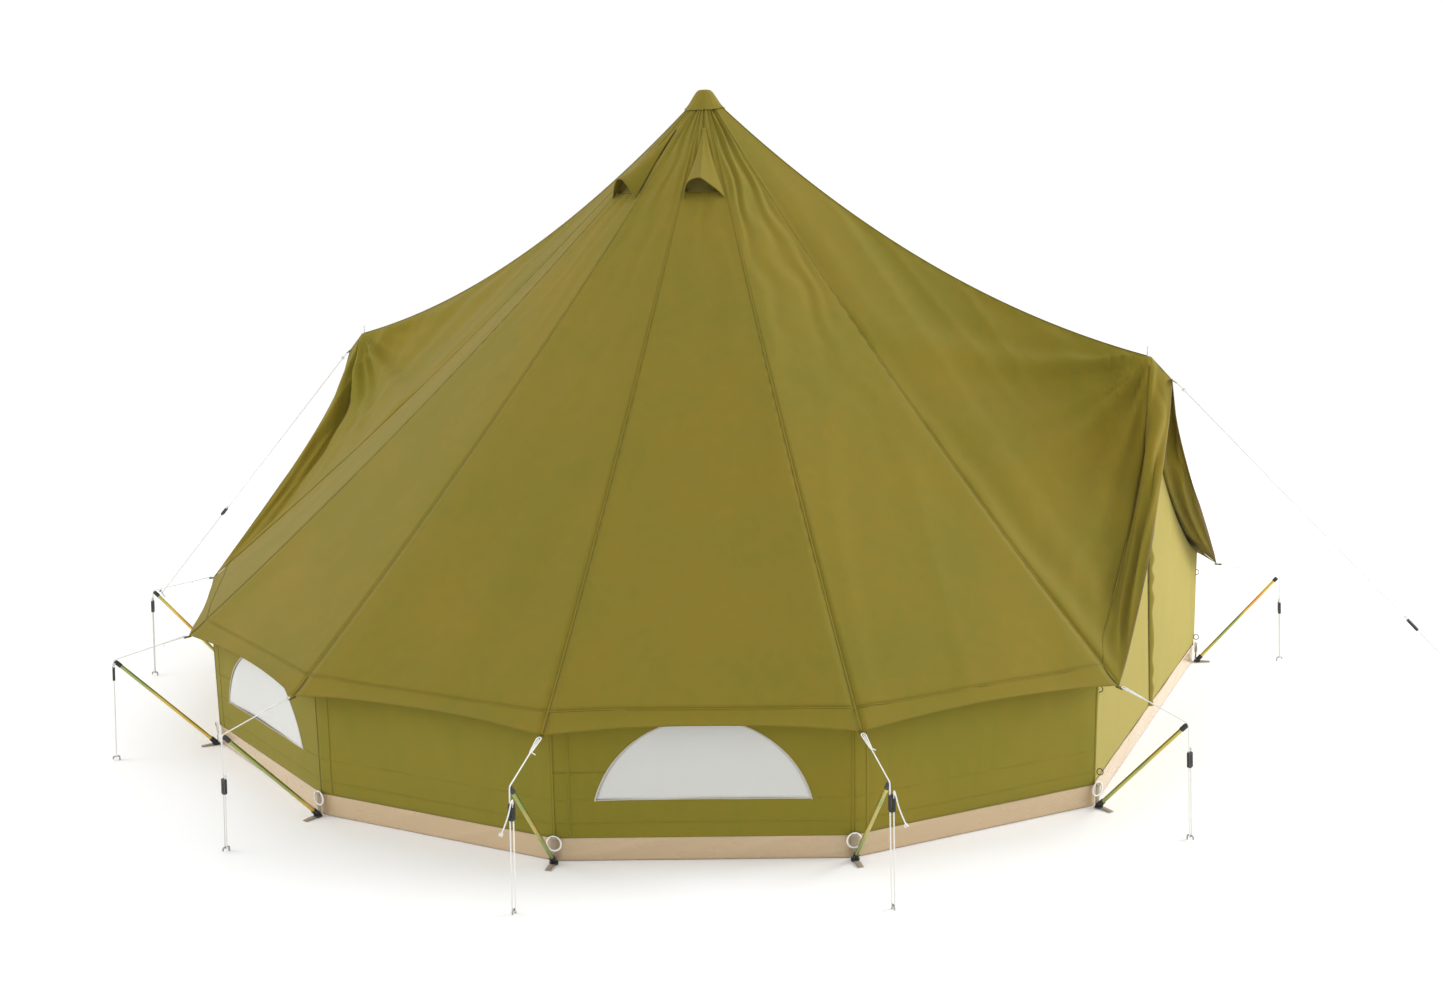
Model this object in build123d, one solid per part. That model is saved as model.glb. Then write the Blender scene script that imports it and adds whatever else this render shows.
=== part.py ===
"""Twin-door bell tent, pitched: canvas, poles, struts, guy lines, pegs.

Millimetres, +Z up.  The origin is the middle of the groundsheet's underside.
The front door faces -Y, the rear door +Y.  Seen from in front of the front
door, left is -X.  The plan has fourteen equal steps: five wall sides on each
flank, and two steps for each door.
"""
from math import atan2, cos, pi, radians, sin, tan
import os

from build123d import *

# ---------------------------------------------------------------- plan
PLAN_STEPS = 14
STEP = 360 / PLAN_STEPS
FLANK_SIDES = 5
BASE_R = 3000.0              # groundsheet corner
CORNERS = [k for k in range(PLAN_STEPS) if k % 7]      # no corner at a door's middle

# ---------------------------------------------------------------- canvas
CLOTH = 3.0                  # thickness that stands for canvas
APEX_Z = 3536.0              # where the roof's seams would meet
ROOF_TOP_R = 95.0            # the roof starts here, under the apex cap
SEAM_SAG = 95.0
STITCH_R = 3030.0            # roof panels end, valance begins
EAVE_R = 3125.0
EAVE_Z = 637.0
SCALLOP = 38.0
ROOF_ROWS = 6
ROOF_DROP = 4.0              # a roof panel's thickness, measured downwards

# ---------------------------------------------------------------- walls
WALL_R = 3006.0
WALL_Z0 = 108.0
WALL_Z1 = 712.0
SHEET = 3.0
SHEET_WALL_Z = 115.0

WINDOW_SIDES = (1, 3)        # second and fourth wall side of each flank
WINDOW_W = 967.0
WINDOW_H = 373.0
WINDOW_R = (WINDOW_W ** 2 / 4 + WINDOW_H ** 2) / (2 * WINDOW_H)
WINDOW_SILL = 287.0
TRIM_W = 16.0

# ---------------------------------------------------------------- doors
PEAK_Y = 2642.0
PEAK_Z = 2045.0
RIDGE_SAG = 215.0
TIP_Y = 2757.0
TIP_Z = 1926.0
DOOR_Y = WALL_R * cos(radians(STEP))       # door wall's outer face at the ground
DOOR_HALF = WALL_R * sin(radians(STEP))
FOLD_HALF = 620.0            # where a door half folds, at the ground
LEG_HALF = 585.0             # A-frame foot, either side of the door's middle
DOOR_TOP_Z = 1600.0          # the zip ends here, below the A-frame's head
HINGE_GAP = 3.0
ZIP_GAP = 2.0
FLAP_ROWS = 8
ZIP_FLAP_W = 56.0
SLIDER_Z = 190.0

# ---------------------------------------------------------------- poles and struts
POLE_D = 38.0
POLE_WALL = 1.5
POLE_JOINT_Z = 1750.0
LEG_D = 25.0
STRUT_D = 20.0
STRUT_WALL = 1.2
FOOT_R = 3030.0
FOOT_Z = 14.0
TIP_R = 3502.0
STRUT_TIP_Z = 537.0

# ---------------------------------------------------------------- lines
ROPE_D = 6.0
STRAND_GAP = 15.0            # between the two strands below a runner
TAB_R = 3156.0
TAB_Z = 632.0
PEG_R = 3546.0
PEG_BAR_Z = 22.0
RIDGE_PEG_Y = 4700.0
RUNNER_L = 75.0
RUNNER_W = 29.0
RUNNER_T = 12.0
RUNNER_DROP = {              # strut tip down to the runner's middle
    1: 210.0, 2: 150.0, 3: 120.0, 4: 175.0, 5: 95.0, 6: 140.0,
    8: 100.0, 9: 72.0, 10: 240.0, 11: 108.0, 12: 90.0, 13: 170.0,
}
RIDGE_RUNNER = 1710.0        # along a ridge line, from its tab
TAIL = {11: -1, 12: 1}       # lines whose loose tail hangs free, and to which side
PEG_D = 8.0

RING_R = 33.5
RING_WIRE = 4.0
RING_Z = 92.0
RING_AT = 3018.0

OUT = "parts"


# ---------------------------------------------------------------- helpers
def corner_angle(k):
    return -90 + k * STEP


def polar(r, k, z, side=0.0):
    """A point at radius r on corner k's plane, and side mm round from it."""
    a = radians(corner_angle(k))
    return Vector(r * cos(a) - side * sin(a), r * sin(a) + side * cos(a), z)


def polyhedron(points, faces):
    made = [Face(Wire.make_polygon([points[i] for i in f], close=True)) for f in faces]
    return Solid(Shell(made))


def slab(rows, shift):
    """A closed sheet between a grid of points and the same grid moved by shift."""
    nu, nv = len(rows), len(rows[0])
    top = [p for row in rows for p in row]
    points = top + [p + shift for p in top]
    low = len(top)
    faces = []
    for i in range(nu - 1):
        for j in range(nv - 1):
            a, b = i * nv + j, i * nv + j + 1
            c, d = a + nv, b + nv
            for tri in ((a, b, d), (a, d, c)):
                faces.append(tri)
                faces.append([n + low for n in tri])
    border = [(i * nv + j, i * nv + j + 1) for i in (0, nu - 1) for j in range(nv - 1)]
    border += [(i * nv + j, (i + 1) * nv + j) for j in (0, nv - 1) for i in range(nu - 1)]
    for a, b in border:
        faces.append((a, b, b + low))
        faces.append((a, b + low, a + low))
    return polyhedron(points, faces)


def rod(a, b, d, bore=0.0):
    """A round bar or tube from a to b."""
    a, b = Vector(*a), Vector(*b)
    plane = Plane(origin=a, z_dir=b - a)
    length = (b - a).length
    body = plane * Pos(0, 0, length / 2) * Cylinder(d / 2, length)
    if bore:
        body -= plane * Pos(0, 0, length / 2) * Cylinder(bore / 2, length + 2)
    return body


def block(plane, size, at=(0, 0, 0)):
    return plane * Pos(*at) * Box(*size)


def corner_plane(k, r, z):
    """x runs round the tent, y up, z outwards."""
    a = radians(corner_angle(k))
    return Plane(origin=polar(r, k, z), x_dir=(-sin(a), cos(a), 0), z_dir=(cos(a), sin(a), 0))


def plate(plane, outline, thickness, hole=None):
    """A flat piece whose outer face is on the plane; it grows inwards."""
    face = make_face(Polyline(*outline, close=True))
    if hole is not None:
        face -= hole
    return extrude(plane * face, amount=-thickness)


def both_doors(shape):
    return [shape, shape.rotate(Axis.Z, 180)]


def save(name, *shapes):
    solids = []
    for s in shapes:
        solids += s.solids() if hasattr(s, "solids") else [s]
    whole = Compound(children=list(solids)) if len(solids) > 1 else solids[0]
    whole.label = name
    export_step(whole, os.path.join(OUT, name + ".step"))
    print(f"{name}: {len(solids)} solids, {sum(s.volume for s in solids) / 1e3:.1f} cm3")


# ---------------------------------------------------------------- roof curves
def seam_z(r):
    """Height of the seams that run down to the eave corners."""
    u = r / EAVE_R
    return APEX_Z - (APEX_Z - EAVE_Z) * u - 4 * SEAM_SAG * u * (1 - u)


def ridge_z(r):
    """Height of the two ridges that run down to the door peaks."""
    u = r / PEAK_Y
    return APEX_Z - (APEX_Z - PEAK_Z) * u - 4 * RIDGE_SAG * u * (1 - u)


def door_plane_y(z):
    """Outer face of a door wall: it leans in a little towards its peak."""
    return DOOR_Y - (DOOR_Y - PEAK_Y) * (z - WALL_Z0) / (PEAK_Z - WALL_Z0)


def hinge_x(z):
    """The line where a door half folds, just outside the A-frame's leg."""
    return FOLD_HALF * (1 - z / PEAK_Z) + 15


def gable_x(z):
    """Half width of the door wall where it meets the roof, at height z."""
    drop = (PEAK_Z - z) / (PEAK_Z - WALL_Z1)
    return max(DOOR_HALF * drop ** 2, hinge_x(z) + 14)


def gable_z(s):
    """The gable line's height a fraction s down it, closer rows near the peak."""
    return PEAK_Z - 12 - (PEAK_Z - 12 - WALL_Z1) * s


def porch_edge(s):
    """The porch's free edge, from its ridge tip to the eave corner."""
    x = 4 + (EAVE_R * sin(radians(STEP)) - 4) * s
    y = TIP_Y + (EAVE_R * cos(radians(STEP)) - TIP_Y) * s + 60 * s * (1 - s)
    z = TIP_Z - (TIP_Z - EAVE_Z) * (0.65 * s ** 0.6 + 0.35 * s)
    return Vector(x, -y, z)


# ---------------------------------------------------------------- canvas
def roof_panel(k):
    """Flat across, sagging down its length, between seams k and k + 1."""
    rows = []
    for i in range(ROOF_ROWS + 1):
        r = ROOF_TOP_R + (STITCH_R - ROOF_TOP_R) * i / ROOF_ROWS
        rows.append([polar(r, k, seam_z(r)), polar(r, k + 1, seam_z(r))])
    return slab(rows, Vector(0, 0, -ROOF_DROP))


def gable_point(s):
    """A point on the roof's edge along the door wall, s = 0 at the peak."""
    z = gable_z(s)
    return Vector(gable_x(z), -door_plane_y(z) - 1, z)


def door_roof_panel():
    """From seam 1 to the front ridge, drawn down to the gable line at the door."""
    rows = []
    columns = 8
    for i in range(ROOF_ROWS + 1):
        u = (ROOF_TOP_R + (STITCH_R - ROOF_TOP_R) * i / ROOF_ROWS) / STITCH_R
        seam = polar(STITCH_R * u, 1, seam_z(STITCH_R * u))
        ridge = Vector(4, -PEAK_Y * u, ridge_z(PEAK_Y * u))
        row = []
        for j in range(columns + 1):
            v = 1 - (1 - j / columns) ** 1.8
            straight = seam * (1 - v) + ridge * v
            end = polar(STITCH_R, 1, seam_z(STITCH_R)) * (1 - v) + Vector(4, -PEAK_Y, PEAK_Z) * v
            pull = gable_point((1 - v) ** 0.8) - end
            if j in (0, columns):
                pull = Vector(0, 0, 0)
            row.append(straight + pull * u ** 4)
        rows.append(row)
    return slab(rows, Vector(-2.4, 0, -3.2))


def porch_flap():
    """The roof carried on past the door wall, from the gable line to its free edge."""
    rows = []
    stitch_end = polar(STITCH_R + 4, 1, seam_z(STITCH_R + 4))
    for i in range(FLAP_ROWS + 1):
        s = i / FLAP_ROWS
        inner = gable_point(s ** 1.6) + Vector(0, -5, 0)
        inner += (stitch_end - inner) * s ** 6
        if i == 0:
            inner = Vector(5, -PEAK_Y - 6, PEAK_Z - 1)
        edge = porch_edge(s)
        rows.append([inner, inner * 0.5 + edge * 0.5, edge])
    return slab(rows, Vector(-2.6, 0, -1.6))


def valance_strip(k):
    """The band below the stitched line, with a hollowed lower edge."""
    rows = [[], []]
    count = 8
    for j in range(count + 1):
        v = j / count
        top = polar(STITCH_R + 1, k, seam_z(STITCH_R + 1)) * (1 - v)
        top += polar(STITCH_R + 1, k + 1, seam_z(STITCH_R + 1)) * v
        low = polar(EAVE_R, k, EAVE_Z) * (1 - v) + polar(EAVE_R, k + 1, EAVE_Z) * v
        lift = 4 * v * (1 - v) * SCALLOP / (top - low).length
        rows[0].append(top)
        rows[1].append(low + (top - low) * lift)
    return slab(rows, Vector(0, 0, -ROOF_DROP))


def window_outline(grow=0.0):
    """The top of a circle standing on its sill, in the wall side's own plane."""
    disc = Pos(0, WINDOW_H - WINDOW_R) * Circle(WINDOW_R + grow)
    keep = Pos(0, WINDOW_H / 2) * Rectangle(WINDOW_W * 2, WINDOW_H + 2 * grow)
    return Pos(0, WINDOW_SILL) * (disc & keep)


def side_plane(k, r, z=0.0):
    """The plane of the wall side between corners k and k + 1."""
    a = radians(corner_angle(k + 0.5))
    d = r * cos(radians(STEP / 2))
    origin = (d * cos(a), d * sin(a), z)
    return Plane(origin=origin, x_dir=(-sin(a), cos(a), 0), z_dir=(cos(a), sin(a), 0))


def flank_sides():
    """Corner numbers that start each wall side, and which side of its flank it is."""
    return [(first + i, i) for first in (1, 8) for i in range(FLANK_SIDES)]


def wall_side(k, i):
    half = WALL_R * sin(radians(STEP / 2))
    inner = half - CLOTH * tan(radians(STEP / 2)) - 0.2
    outline = [(-inner, WALL_Z0), (inner, WALL_Z0), (inner, WALL_Z1), (-inner, WALL_Z1)]
    hole = window_outline() if i in WINDOW_SIDES else None
    return plate(side_plane(k, WALL_R), outline, CLOTH, hole)


def door_wall_plane():
    lean = atan2(DOOR_Y - PEAK_Y, PEAK_Z - WALL_Z0)
    return Plane(origin=(0, -DOOR_Y, WALL_Z0), x_dir=(1, 0, 0), z_dir=(0, -cos(lean), sin(lean)))


def on_door(x, z):
    """A point of the door wall's plane, from its distance sideways and its height."""
    lean = atan2(DOOR_Y - PEAK_Y, PEAK_Z - WALL_Z0)
    return (x, (z - WALL_Z0) / cos(lean))


def door_wall_side():
    """The part of a door wall that stays put, from a door half's fold to the corner."""
    split = 1480.0
    edge = DOOR_HALF - 4
    outline = [(hinge_x(WALL_Z0) + HINGE_GAP, WALL_Z0), (edge, WALL_Z0), (edge, WALL_Z1 - 30)]
    for i in range(7):
        z = WALL_Z1 - 12 + (split - WALL_Z1 + 12) * i / 6
        outline.append((min(gable_x(z) - 22, edge), z))
    outline.append((hinge_x(split) + HINGE_GAP, split))
    return plate(door_wall_plane(), [on_door(*p) for p in outline], CLOTH)


def door_gusset():
    """The fixed point of canvas above both door halves."""
    outline = []
    for z in (DOOR_TOP_Z + 4, 1780.0, 1950.0):
        x = hinge_x(z) - 8
        outline = [(-x, z)] + outline + [(x, z)]
    return plate(door_wall_plane(), [on_door(*p) for p in outline], CLOTH)


def door_leaf(side):
    """One half of a door, with the zip's cover strip on the left half's edge."""
    z0, z1 = WALL_Z0 + 12, DOOR_TOP_Z
    outline = [(ZIP_GAP, z0), (hinge_x(z0) - HINGE_GAP, z0)]
    outline += [(hinge_x(z1) - HINGE_GAP, z1), (ZIP_GAP, z1)]
    leaf = plate(door_wall_plane(), [on_door(side * x, z) for x, z in outline], CLOTH)
    if side > 0:
        return [leaf]
    strip = [(-ZIP_FLAP_W, z0), (-18, z0), (-18, z1 - 60), (-24, z1 - 60)]
    strip = [on_door(x, z) for x, z in strip]
    cover = plate(door_wall_plane().offset(3.6), strip, CLOTH)
    return [leaf, cover]


def zip_slider():
    """A slider body on the left half's edge, with its pull tab hanging below."""
    base = door_wall_plane().offset(1.0)
    x, y = on_door(-10, SLIDER_Z)
    body = base * Pos(x, y, 3.5) * Box(10, 16, 7)
    body = fillet(body.edges(), 1.5)
    pull = base * Pos(x, y - 24, 4.5) * Box(7, 32, 2.4)
    return body + pull


# ---------------------------------------------------------------- groundsheet
def plan_outline(r):
    return [polar(r, k, 0) for k in CORNERS]


def groundsheet():
    """A flat floor, and a strip standing up along each of its twelve sides."""
    floor = extrude(make_face(Polyline(*plan_outline(BASE_R), close=True)), amount=SHEET)
    pieces = [floor]
    inner = BASE_R - SHEET / cos(radians(STEP / 2))
    for a, b in zip(CORNERS, CORNERS[1:] + CORNERS[:1]):
        foot = [polar(BASE_R, a, SHEET), polar(BASE_R, b, SHEET)]
        foot += [polar(inner, b, SHEET), polar(inner, a, SHEET)]
        pieces.append(extrude(make_face(Polyline(*foot, close=True)), amount=SHEET_WALL_Z - SHEET))
    return pieces


# ---------------------------------------------------------------- top of the tent
def apex_cap():
    """A doubled cone of canvas over the roof's top end."""
    outer = [(0, 3540), (34, 3537), (52, 3524), (90, 3476), (120, 3441)]
    inner = [(x, z - 5) for x, z in reversed(outer)]
    profile = make_face(Plane.XZ * Polyline(*outer, *inner, close=True))
    return revolve(profile, Axis.Z)


VENT_TOP_R = 250.0
VENT_LOW_R = 600.0
VENT_ARCH = 118.0
VENT_INSET = 0.07            # of a panel's width, at each side of a hood's mouth


def vent_hood(k):
    """A hood from seam to seam, lying on the roof at its top and arched at its mouth."""
    rows = []
    for i in range(5):
        u = i / 4
        r = VENT_TOP_R + (VENT_LOW_R - VENT_TOP_R) * u
        z = seam_z(r) + 6
        row = []
        for j in range(9):
            v = j / 8
            lift = VENT_ARCH * u ** 1.5 * sin(radians(180 * v))
            inset = VENT_INSET * (0.6 + 0.4 * u)
            foot = polar(r, k + inset, z) * (1 - v) + polar(r, k + 1 - inset, z) * v
            row.append(foot + Vector(0, 0, lift))
        rows.append(row)
    return slab(rows, Vector(0, 0, 2.5))


def vent_mesh(k):
    """The net that closes a hood's mouth, just inside its edge."""
    r = VENT_LOW_R - 18
    base = [polar(r, k + v, seam_z(r) + 2) for v in (0.12, 0.88)]
    rows = [[], []]
    for j in range(9):
        v = j / 8
        foot = base[0] * (1 - v) + base[1] * v
        rise = 4 + (VENT_ARCH - 24) * sin(radians(180 * v)) * 0.9
        rows[0].append(foot)
        rows[1].append(foot + Vector(0, 0, rise))
    a = radians(corner_angle(k + 0.5))
    return slab(rows, Vector(-1.2 * cos(a), -1.2 * sin(a), 0))


# ---------------------------------------------------------------- poles
def pole_sections():
    """Two lengths of tube; the upper one's necked end stands inside the lower."""
    lower = rod((0, 0, 12), (0, 0, POLE_JOINT_Z), POLE_D, POLE_D - 2 * POLE_WALL)
    upper = rod((0, 0, POLE_JOINT_Z + 0.5), (0, 0, 3420), POLE_D, POLE_D - 2 * POLE_WALL)
    neck_d = POLE_D - 2 * POLE_WALL - 1
    neck = rod((0, 0, POLE_JOINT_Z - 120), (0, 0, POLE_JOINT_Z + 0.5), neck_d, neck_d - 2 * POLE_WALL)
    collar = rod((0, 0, POLE_JOINT_Z + 0.5), (0, 0, POLE_JOINT_Z + 3), POLE_D, neck_d - 2 * POLE_WALL)
    return lower, upper + neck + collar


def pole_foot():
    pad = Pos(0, 0, SHEET + 4.3) * Cylinder(45, 8)
    cup = rod((0, 0, 11), (0, 0, 52), POLE_D + 7, POLE_D + 1)
    pad = chamfer(pad.edges().group_by(Axis.Z)[-1], 2)
    return pad + cup


def pole_crown():
    """A rounded head on the centre pole that carries the roof."""
    top = 3508.0
    rise = [(0, top), (18, top - 3), (30, top - 14), (34, 3440), (34, 3421), (0, 3421)]
    line = Polyline(*rise, close=True)
    return revolve(make_face(Plane.XZ * line), Axis.Z)


LEG_FOOT_Y = 2645.0
LEG_HEAD_Y = 2622.0
PIN_TOP_Z = 2098.0
LEG_HEAD = (22.0, 1925.0)    # sideways and up
LEG_FOOT_Z = 22.0


def leg_ends(side):
    """The two ends of an A-frame leg's middle line."""
    foot = Vector(side * LEG_HALF, -LEG_FOOT_Y, LEG_FOOT_Z)
    head = Vector(side * LEG_HEAD[0], -LEG_HEAD_Y, LEG_HEAD[1])
    return foot, head


def a_frame_leg(side):
    return rod(*leg_ends(side), LEG_D, LEG_D - 3)


def a_frame_crown():
    """A bent joiner plugged on both legs' heads, with the pin that stands through the canvas."""
    joiner = []
    for side in (-1, 1):
        foot, head = leg_ends(side)
        along = (head - foot).normalized()
        joiner.append(rod(head + along * 0.4, head + along * 30, LEG_D))
    bridge_z = LEG_HEAD[1] + 28
    bridge = rod((-16, -LEG_HEAD_Y, bridge_z), (16, -LEG_HEAD_Y, bridge_z), LEG_D)
    spike = rod((0, -LEG_HEAD_Y, bridge_z), (0, -LEG_HEAD_Y, PIN_TOP_Z), 6)
    return joiner[0] + joiner[1] + bridge + spike


def a_frame_foot(side):
    pad = Pos(side * LEG_HALF, -LEG_FOOT_Y, SHEET + 4.3) * Cylinder(24, 8)
    start, head = leg_ends(side)
    along = (head - start).normalized()
    cup = rod(start - along * 12, start + along * 26, LEG_D + 6, LEG_D + 1)
    floor = rod(start - along * 14, start - along * 1, LEG_D + 6)
    return pad + cup + floor


# ---------------------------------------------------------------- eave struts
def strut_axis(k):
    foot = polar(FOOT_R, k, FOOT_Z)
    tip = polar(TIP_R, k, STRUT_TIP_Z)
    return foot, tip, (tip - foot).normalized()


def strut(k):
    foot, tip, along = strut_axis(k)
    return rod(foot + along * 8, tip - along * 13, STRUT_D, STRUT_D - 2 * STRUT_WALL)


def strut_cap(k):
    """A plug over the strut's top end, round where the line bears on it, with a pin."""
    foot, tip, along = strut_axis(k)
    sleeve = rod(tip - along * 30, tip - along * 12.6, STRUT_D + 4, STRUT_D + 0.6)
    head = rod(tip - along * 12.6, tip, STRUT_D + 4)
    dome = Pos(*tip) * Sphere(STRUT_D / 2 + 2)
    return sleeve + head + dome


def strut_foot(k):
    foot, tip, along = strut_axis(k)
    pad = Pos(*polar(FOOT_R, k, 7.3)) * Cylinder(20, 10)
    solid_end = rod(foot - along * 2, foot + along * 7.5, STRUT_D + 7)
    sleeve = rod(foot + along * 7.5, foot + along * 36, STRUT_D + 7, STRUT_D + 0.6)
    return pad + solid_end + sleeve


# ---------------------------------------------------------------- base corners
def peg_ring(k):
    return corner_plane(k, RING_AT, RING_Z) * Torus(RING_R, RING_WIRE)


def ring_strap(k):
    """Webbing sewn down the corner and looped round its ring, and a tail on the ground."""
    wide = 29.0
    plane = corner_plane(k, RING_AT, 0)
    tail = block(plane, (wide, 104, 2), (0, 80, -7.6))
    top = RING_Z + 30.2 - RING_WIRE - 2.4
    loop = block(plane, (wide, 16.5, 13.6), (0, top + 8.25, 0))
    loop -= block(plane, (wide + 2, 12.7, 9.4), (0, top + 8.25, 0))
    ground = block(plane, (wide, 2, 82), (0, 1, 36))
    return [tail + loop, ground]


# ---------------------------------------------------------------- lines
def strut_line_frame(k):
    """Where strut line k turns over its cap and where it reaches its peg."""
    over = polar(TIP_R + 15.0, k, STRUT_TIP_Z + 14.5)
    foot = polar(PEG_R, k, PEG_BAR_Z)
    return over, foot, (foot - over).normalized()


def runner_middle(k):
    over, _, down = strut_line_frame(k)
    return over + down * RUNNER_DROP[k]


def side_dir(k):
    a = radians(corner_angle(k))
    return Vector(-sin(a), cos(a), 0)


def strut_line_route(k):
    """From the eave tab over the strut's cap, round the peg and back up to the runner."""
    over, foot, down = strut_line_frame(k)
    across = side_dir(k) * STRAND_GAP
    low = foot + down * (STRAND_GAP / 2)
    end = runner_middle(k) - down * (RUNNER_L / 2 + 14) + across
    route = [polar(TAB_R, k, TAB_Z), over, low, low + across, end]
    if k in TAIL:
        out = Vector(cos(radians(corner_angle(k))), sin(radians(corner_angle(k))), 0)
        drift = side_dir(k) * TAIL[k]
        route += [end - down * 6 + out * 16, end + down * 22 + out * 27 + drift * 4]
        route += [end + down * 75 + out * 30 + drift * 16, end + down * 140 + out * 31 + drift * 44]
    return route


def ridge_line_frame():
    start = Vector(0, -TIP_Y - 26, TIP_Z - 16)
    foot = Vector(0, -RIDGE_PEG_Y, PEG_BAR_Z + 6)
    return start, foot, (foot - start).normalized()


def ridge_line_route():
    """From the porch's tip straight down to its peg, round it, and back to the runner."""
    start, foot, down = ridge_line_frame()
    across = Vector(STRAND_GAP, 0, 0)
    low = foot + down * (STRAND_GAP / 2)
    end = start + down * (RIDGE_RUNNER - RUNNER_L / 2 - 14) + across
    return [start, low, low + across, end]


def bend_radii(route):
    """Arc radii: the size of what a taut line goes round, or as the runs allow."""
    radii = []
    for a, b, c in zip(route, route[1:], route[2:]):
        turn = radians((b - a).get_angle(c - b))
        short = min((b - a).length, (c - b).length)
        allowed = 0.45 * short / tan(turn / 2)
        radii.append(min(allowed, 16.0) if short > 60 else min(allowed, STRAND_GAP / 2 - 0.02))
    return radii


def rope(name, route):
    radii = bend_radii(route)
    path = FilletPolyline(*route, radius=radii)
    section = Plane(origin=path @ 0, z_dir=path % 0) * Circle(ROPE_D / 2)
    solid = sweep(section, path=path)
    expected = path.length * pi * ROPE_D ** 2 / 4
    shown = ", ".join(f"{r:.1f}" for r in radii)
    print(f"  {name}: length {path.length:.0f}, radii {shown}, volume ratio {solid.volume / expected:.4f}")
    return solid


def runner(middle, down, across):
    """A two-strand runner: a rounded plate, a bore down each edge and a window between them."""
    plane = Plane(origin=middle + across * (STRAND_GAP / 2), x_dir=across, z_dir=across.cross(down * -1))
    body = plane * Box(RUNNER_W, RUNNER_L, RUNNER_T)
    body = fillet(body.edges().filter_by(lambda e: abs((e % 0.5).dot(plane.z_dir)) > 0.99), 9)
    for sign in (-1, 1):
        hole = Plane(origin=middle + across * (STRAND_GAP / 2 * (1 + sign)), z_dir=down)
        body -= hole * Cylinder(ROPE_D / 2 + 0.6, RUNNER_L + 4)
    window = plane * Box(5.0, RUNNER_L - 30, RUNNER_T + 2)
    return body - window


def strut_peg(k):
    """The head of a peg driven to ground level: a hooked bar that the line pulls on."""
    across = STRAND_GAP / 2
    spots = [(PEG_R - 16, 0), (PEG_R - 16, PEG_BAR_Z), (PEG_R + 16, PEG_BAR_Z), (PEG_R + 16, 8)]
    path = FilletPolyline(*[polar(r, k, z, across) for r, z in spots], radius=6)
    return sweep(Plane(origin=path @ 0, z_dir=path % 0) * Circle(PEG_D / 2), path=path)


def ridge_peg():
    """A stouter peg head, square to its line, with a stop above the line."""
    _, foot, down = ridge_line_frame()
    lean = Vector(0, down.Z, -down.Y).normalized()
    middle = foot + Vector(STRAND_GAP / 2, 0, 0)
    low = middle - lean * (middle.Z / lean.Z)
    shaft = rod(low, middle + lean * 26, PEG_D)
    shaft += rod(middle + lean * 16, middle + lean * 24, 22)
    ground = Pos(0, -RIDGE_PEG_Y, -50) * Box(400, 400, 100)
    return shaft - ground


def eave_tab(k):
    """Webbing sewn under the eave corner, with its eye past the canvas."""
    plane = corner_plane(k, EAVE_R + 3, EAVE_Z - 6)
    return block(plane, (22, 3, 24), (0, 0, 12))


def ridge_tab():
    return Pos(0, -TIP_Y - 13, TIP_Z - 8) * Rot(45, 0, 0) * Box(20, 24, 3)


def door_loop(x, z):
    """A small cord loop at the door's corner that a rolled-back door half is tied with."""
    return Pos(x, -door_plane_y(z) - 17, z) * Rot(0, 90, 0) * Torus(13, 2)


# ---------------------------------------------------------------- build
def build_canvas():
    save("canopy", *[roof_panel(k) for k, i in flank_sides()])
    half = door_roof_panel()
    save("door_roofs", *both_doors(half), *both_doors(mirror(half, Plane.YZ)))
    save("valance", *[valance_strip(k) for k, i in flank_sides()])
    save("porch_flaps", *both_doors(porch_flap()), *both_doors(mirror(porch_flap(), Plane.YZ)))
    save("apex_cap", apex_cap())
    vents = [k for k, i in flank_sides() if i in WINDOW_SIDES]
    save("vent_hoods", *[vent_hood(k) for k in vents])
    save("vent_meshes", *[vent_mesh(k) for k in vents])
    save("flank_walls", *[wall_side(k, i) for k, i in flank_sides()])
    nets = []
    trims = []
    for k in vents:
        net = window_outline(-0.5)
        nets.append(extrude(side_plane(k, WALL_R) * net, amount=-CLOTH / 2))
        rim = window_outline(TRIM_W / 2) - window_outline(-TRIM_W / 2)
        trims.append(extrude(side_plane(k, WALL_R + 0.5) * rim, amount=2.0))
    save("window_meshes", *nets)
    save("window_trims", *trims)
    side = door_wall_side()
    mirrored = mirror(side, Plane.YZ)
    save("door_walls", *both_doors(side), *both_doors(mirrored), *both_doors(door_gusset()))
    for name, turn in (("front", 0), ("rear", 180)):
        for which, sign in (("left", -1), ("right", 1)):
            save(f"{name}_door_leaf_{which}", *[s.rotate(Axis.Z, turn) for s in door_leaf(sign)])
        save(f"{name}_zip_slider", zip_slider().rotate(Axis.Z, turn))
    save("groundsheet", *groundsheet())


def build_frame():
    lower, upper = pole_sections()
    save("pole_lower", lower)
    save("pole_upper", upper)
    save("pole_foot", pole_foot())
    save("pole_crown", pole_crown())
    save("a_frame_legs", *both_doors(a_frame_leg(-1)), *both_doors(a_frame_leg(1)))
    save("a_frame_crowns", *both_doors(a_frame_crown()))
    save("a_frame_feet", *both_doors(a_frame_foot(-1)), *both_doors(a_frame_foot(1)))
    save("eave_struts", *[strut(k) for k in CORNERS])
    save("strut_caps", *[strut_cap(k) for k in CORNERS])
    save("strut_feet", *[strut_foot(k) for k in CORNERS])
    save("peg_rings", *[peg_ring(k) for k in CORNERS])
    save("ring_straps", *[s for k in CORNERS for s in ring_strap(k)])


def corner_name(k):
    return f"right_{k}" if k < 7 else f"left_{PLAN_STEPS - k}"


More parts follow.
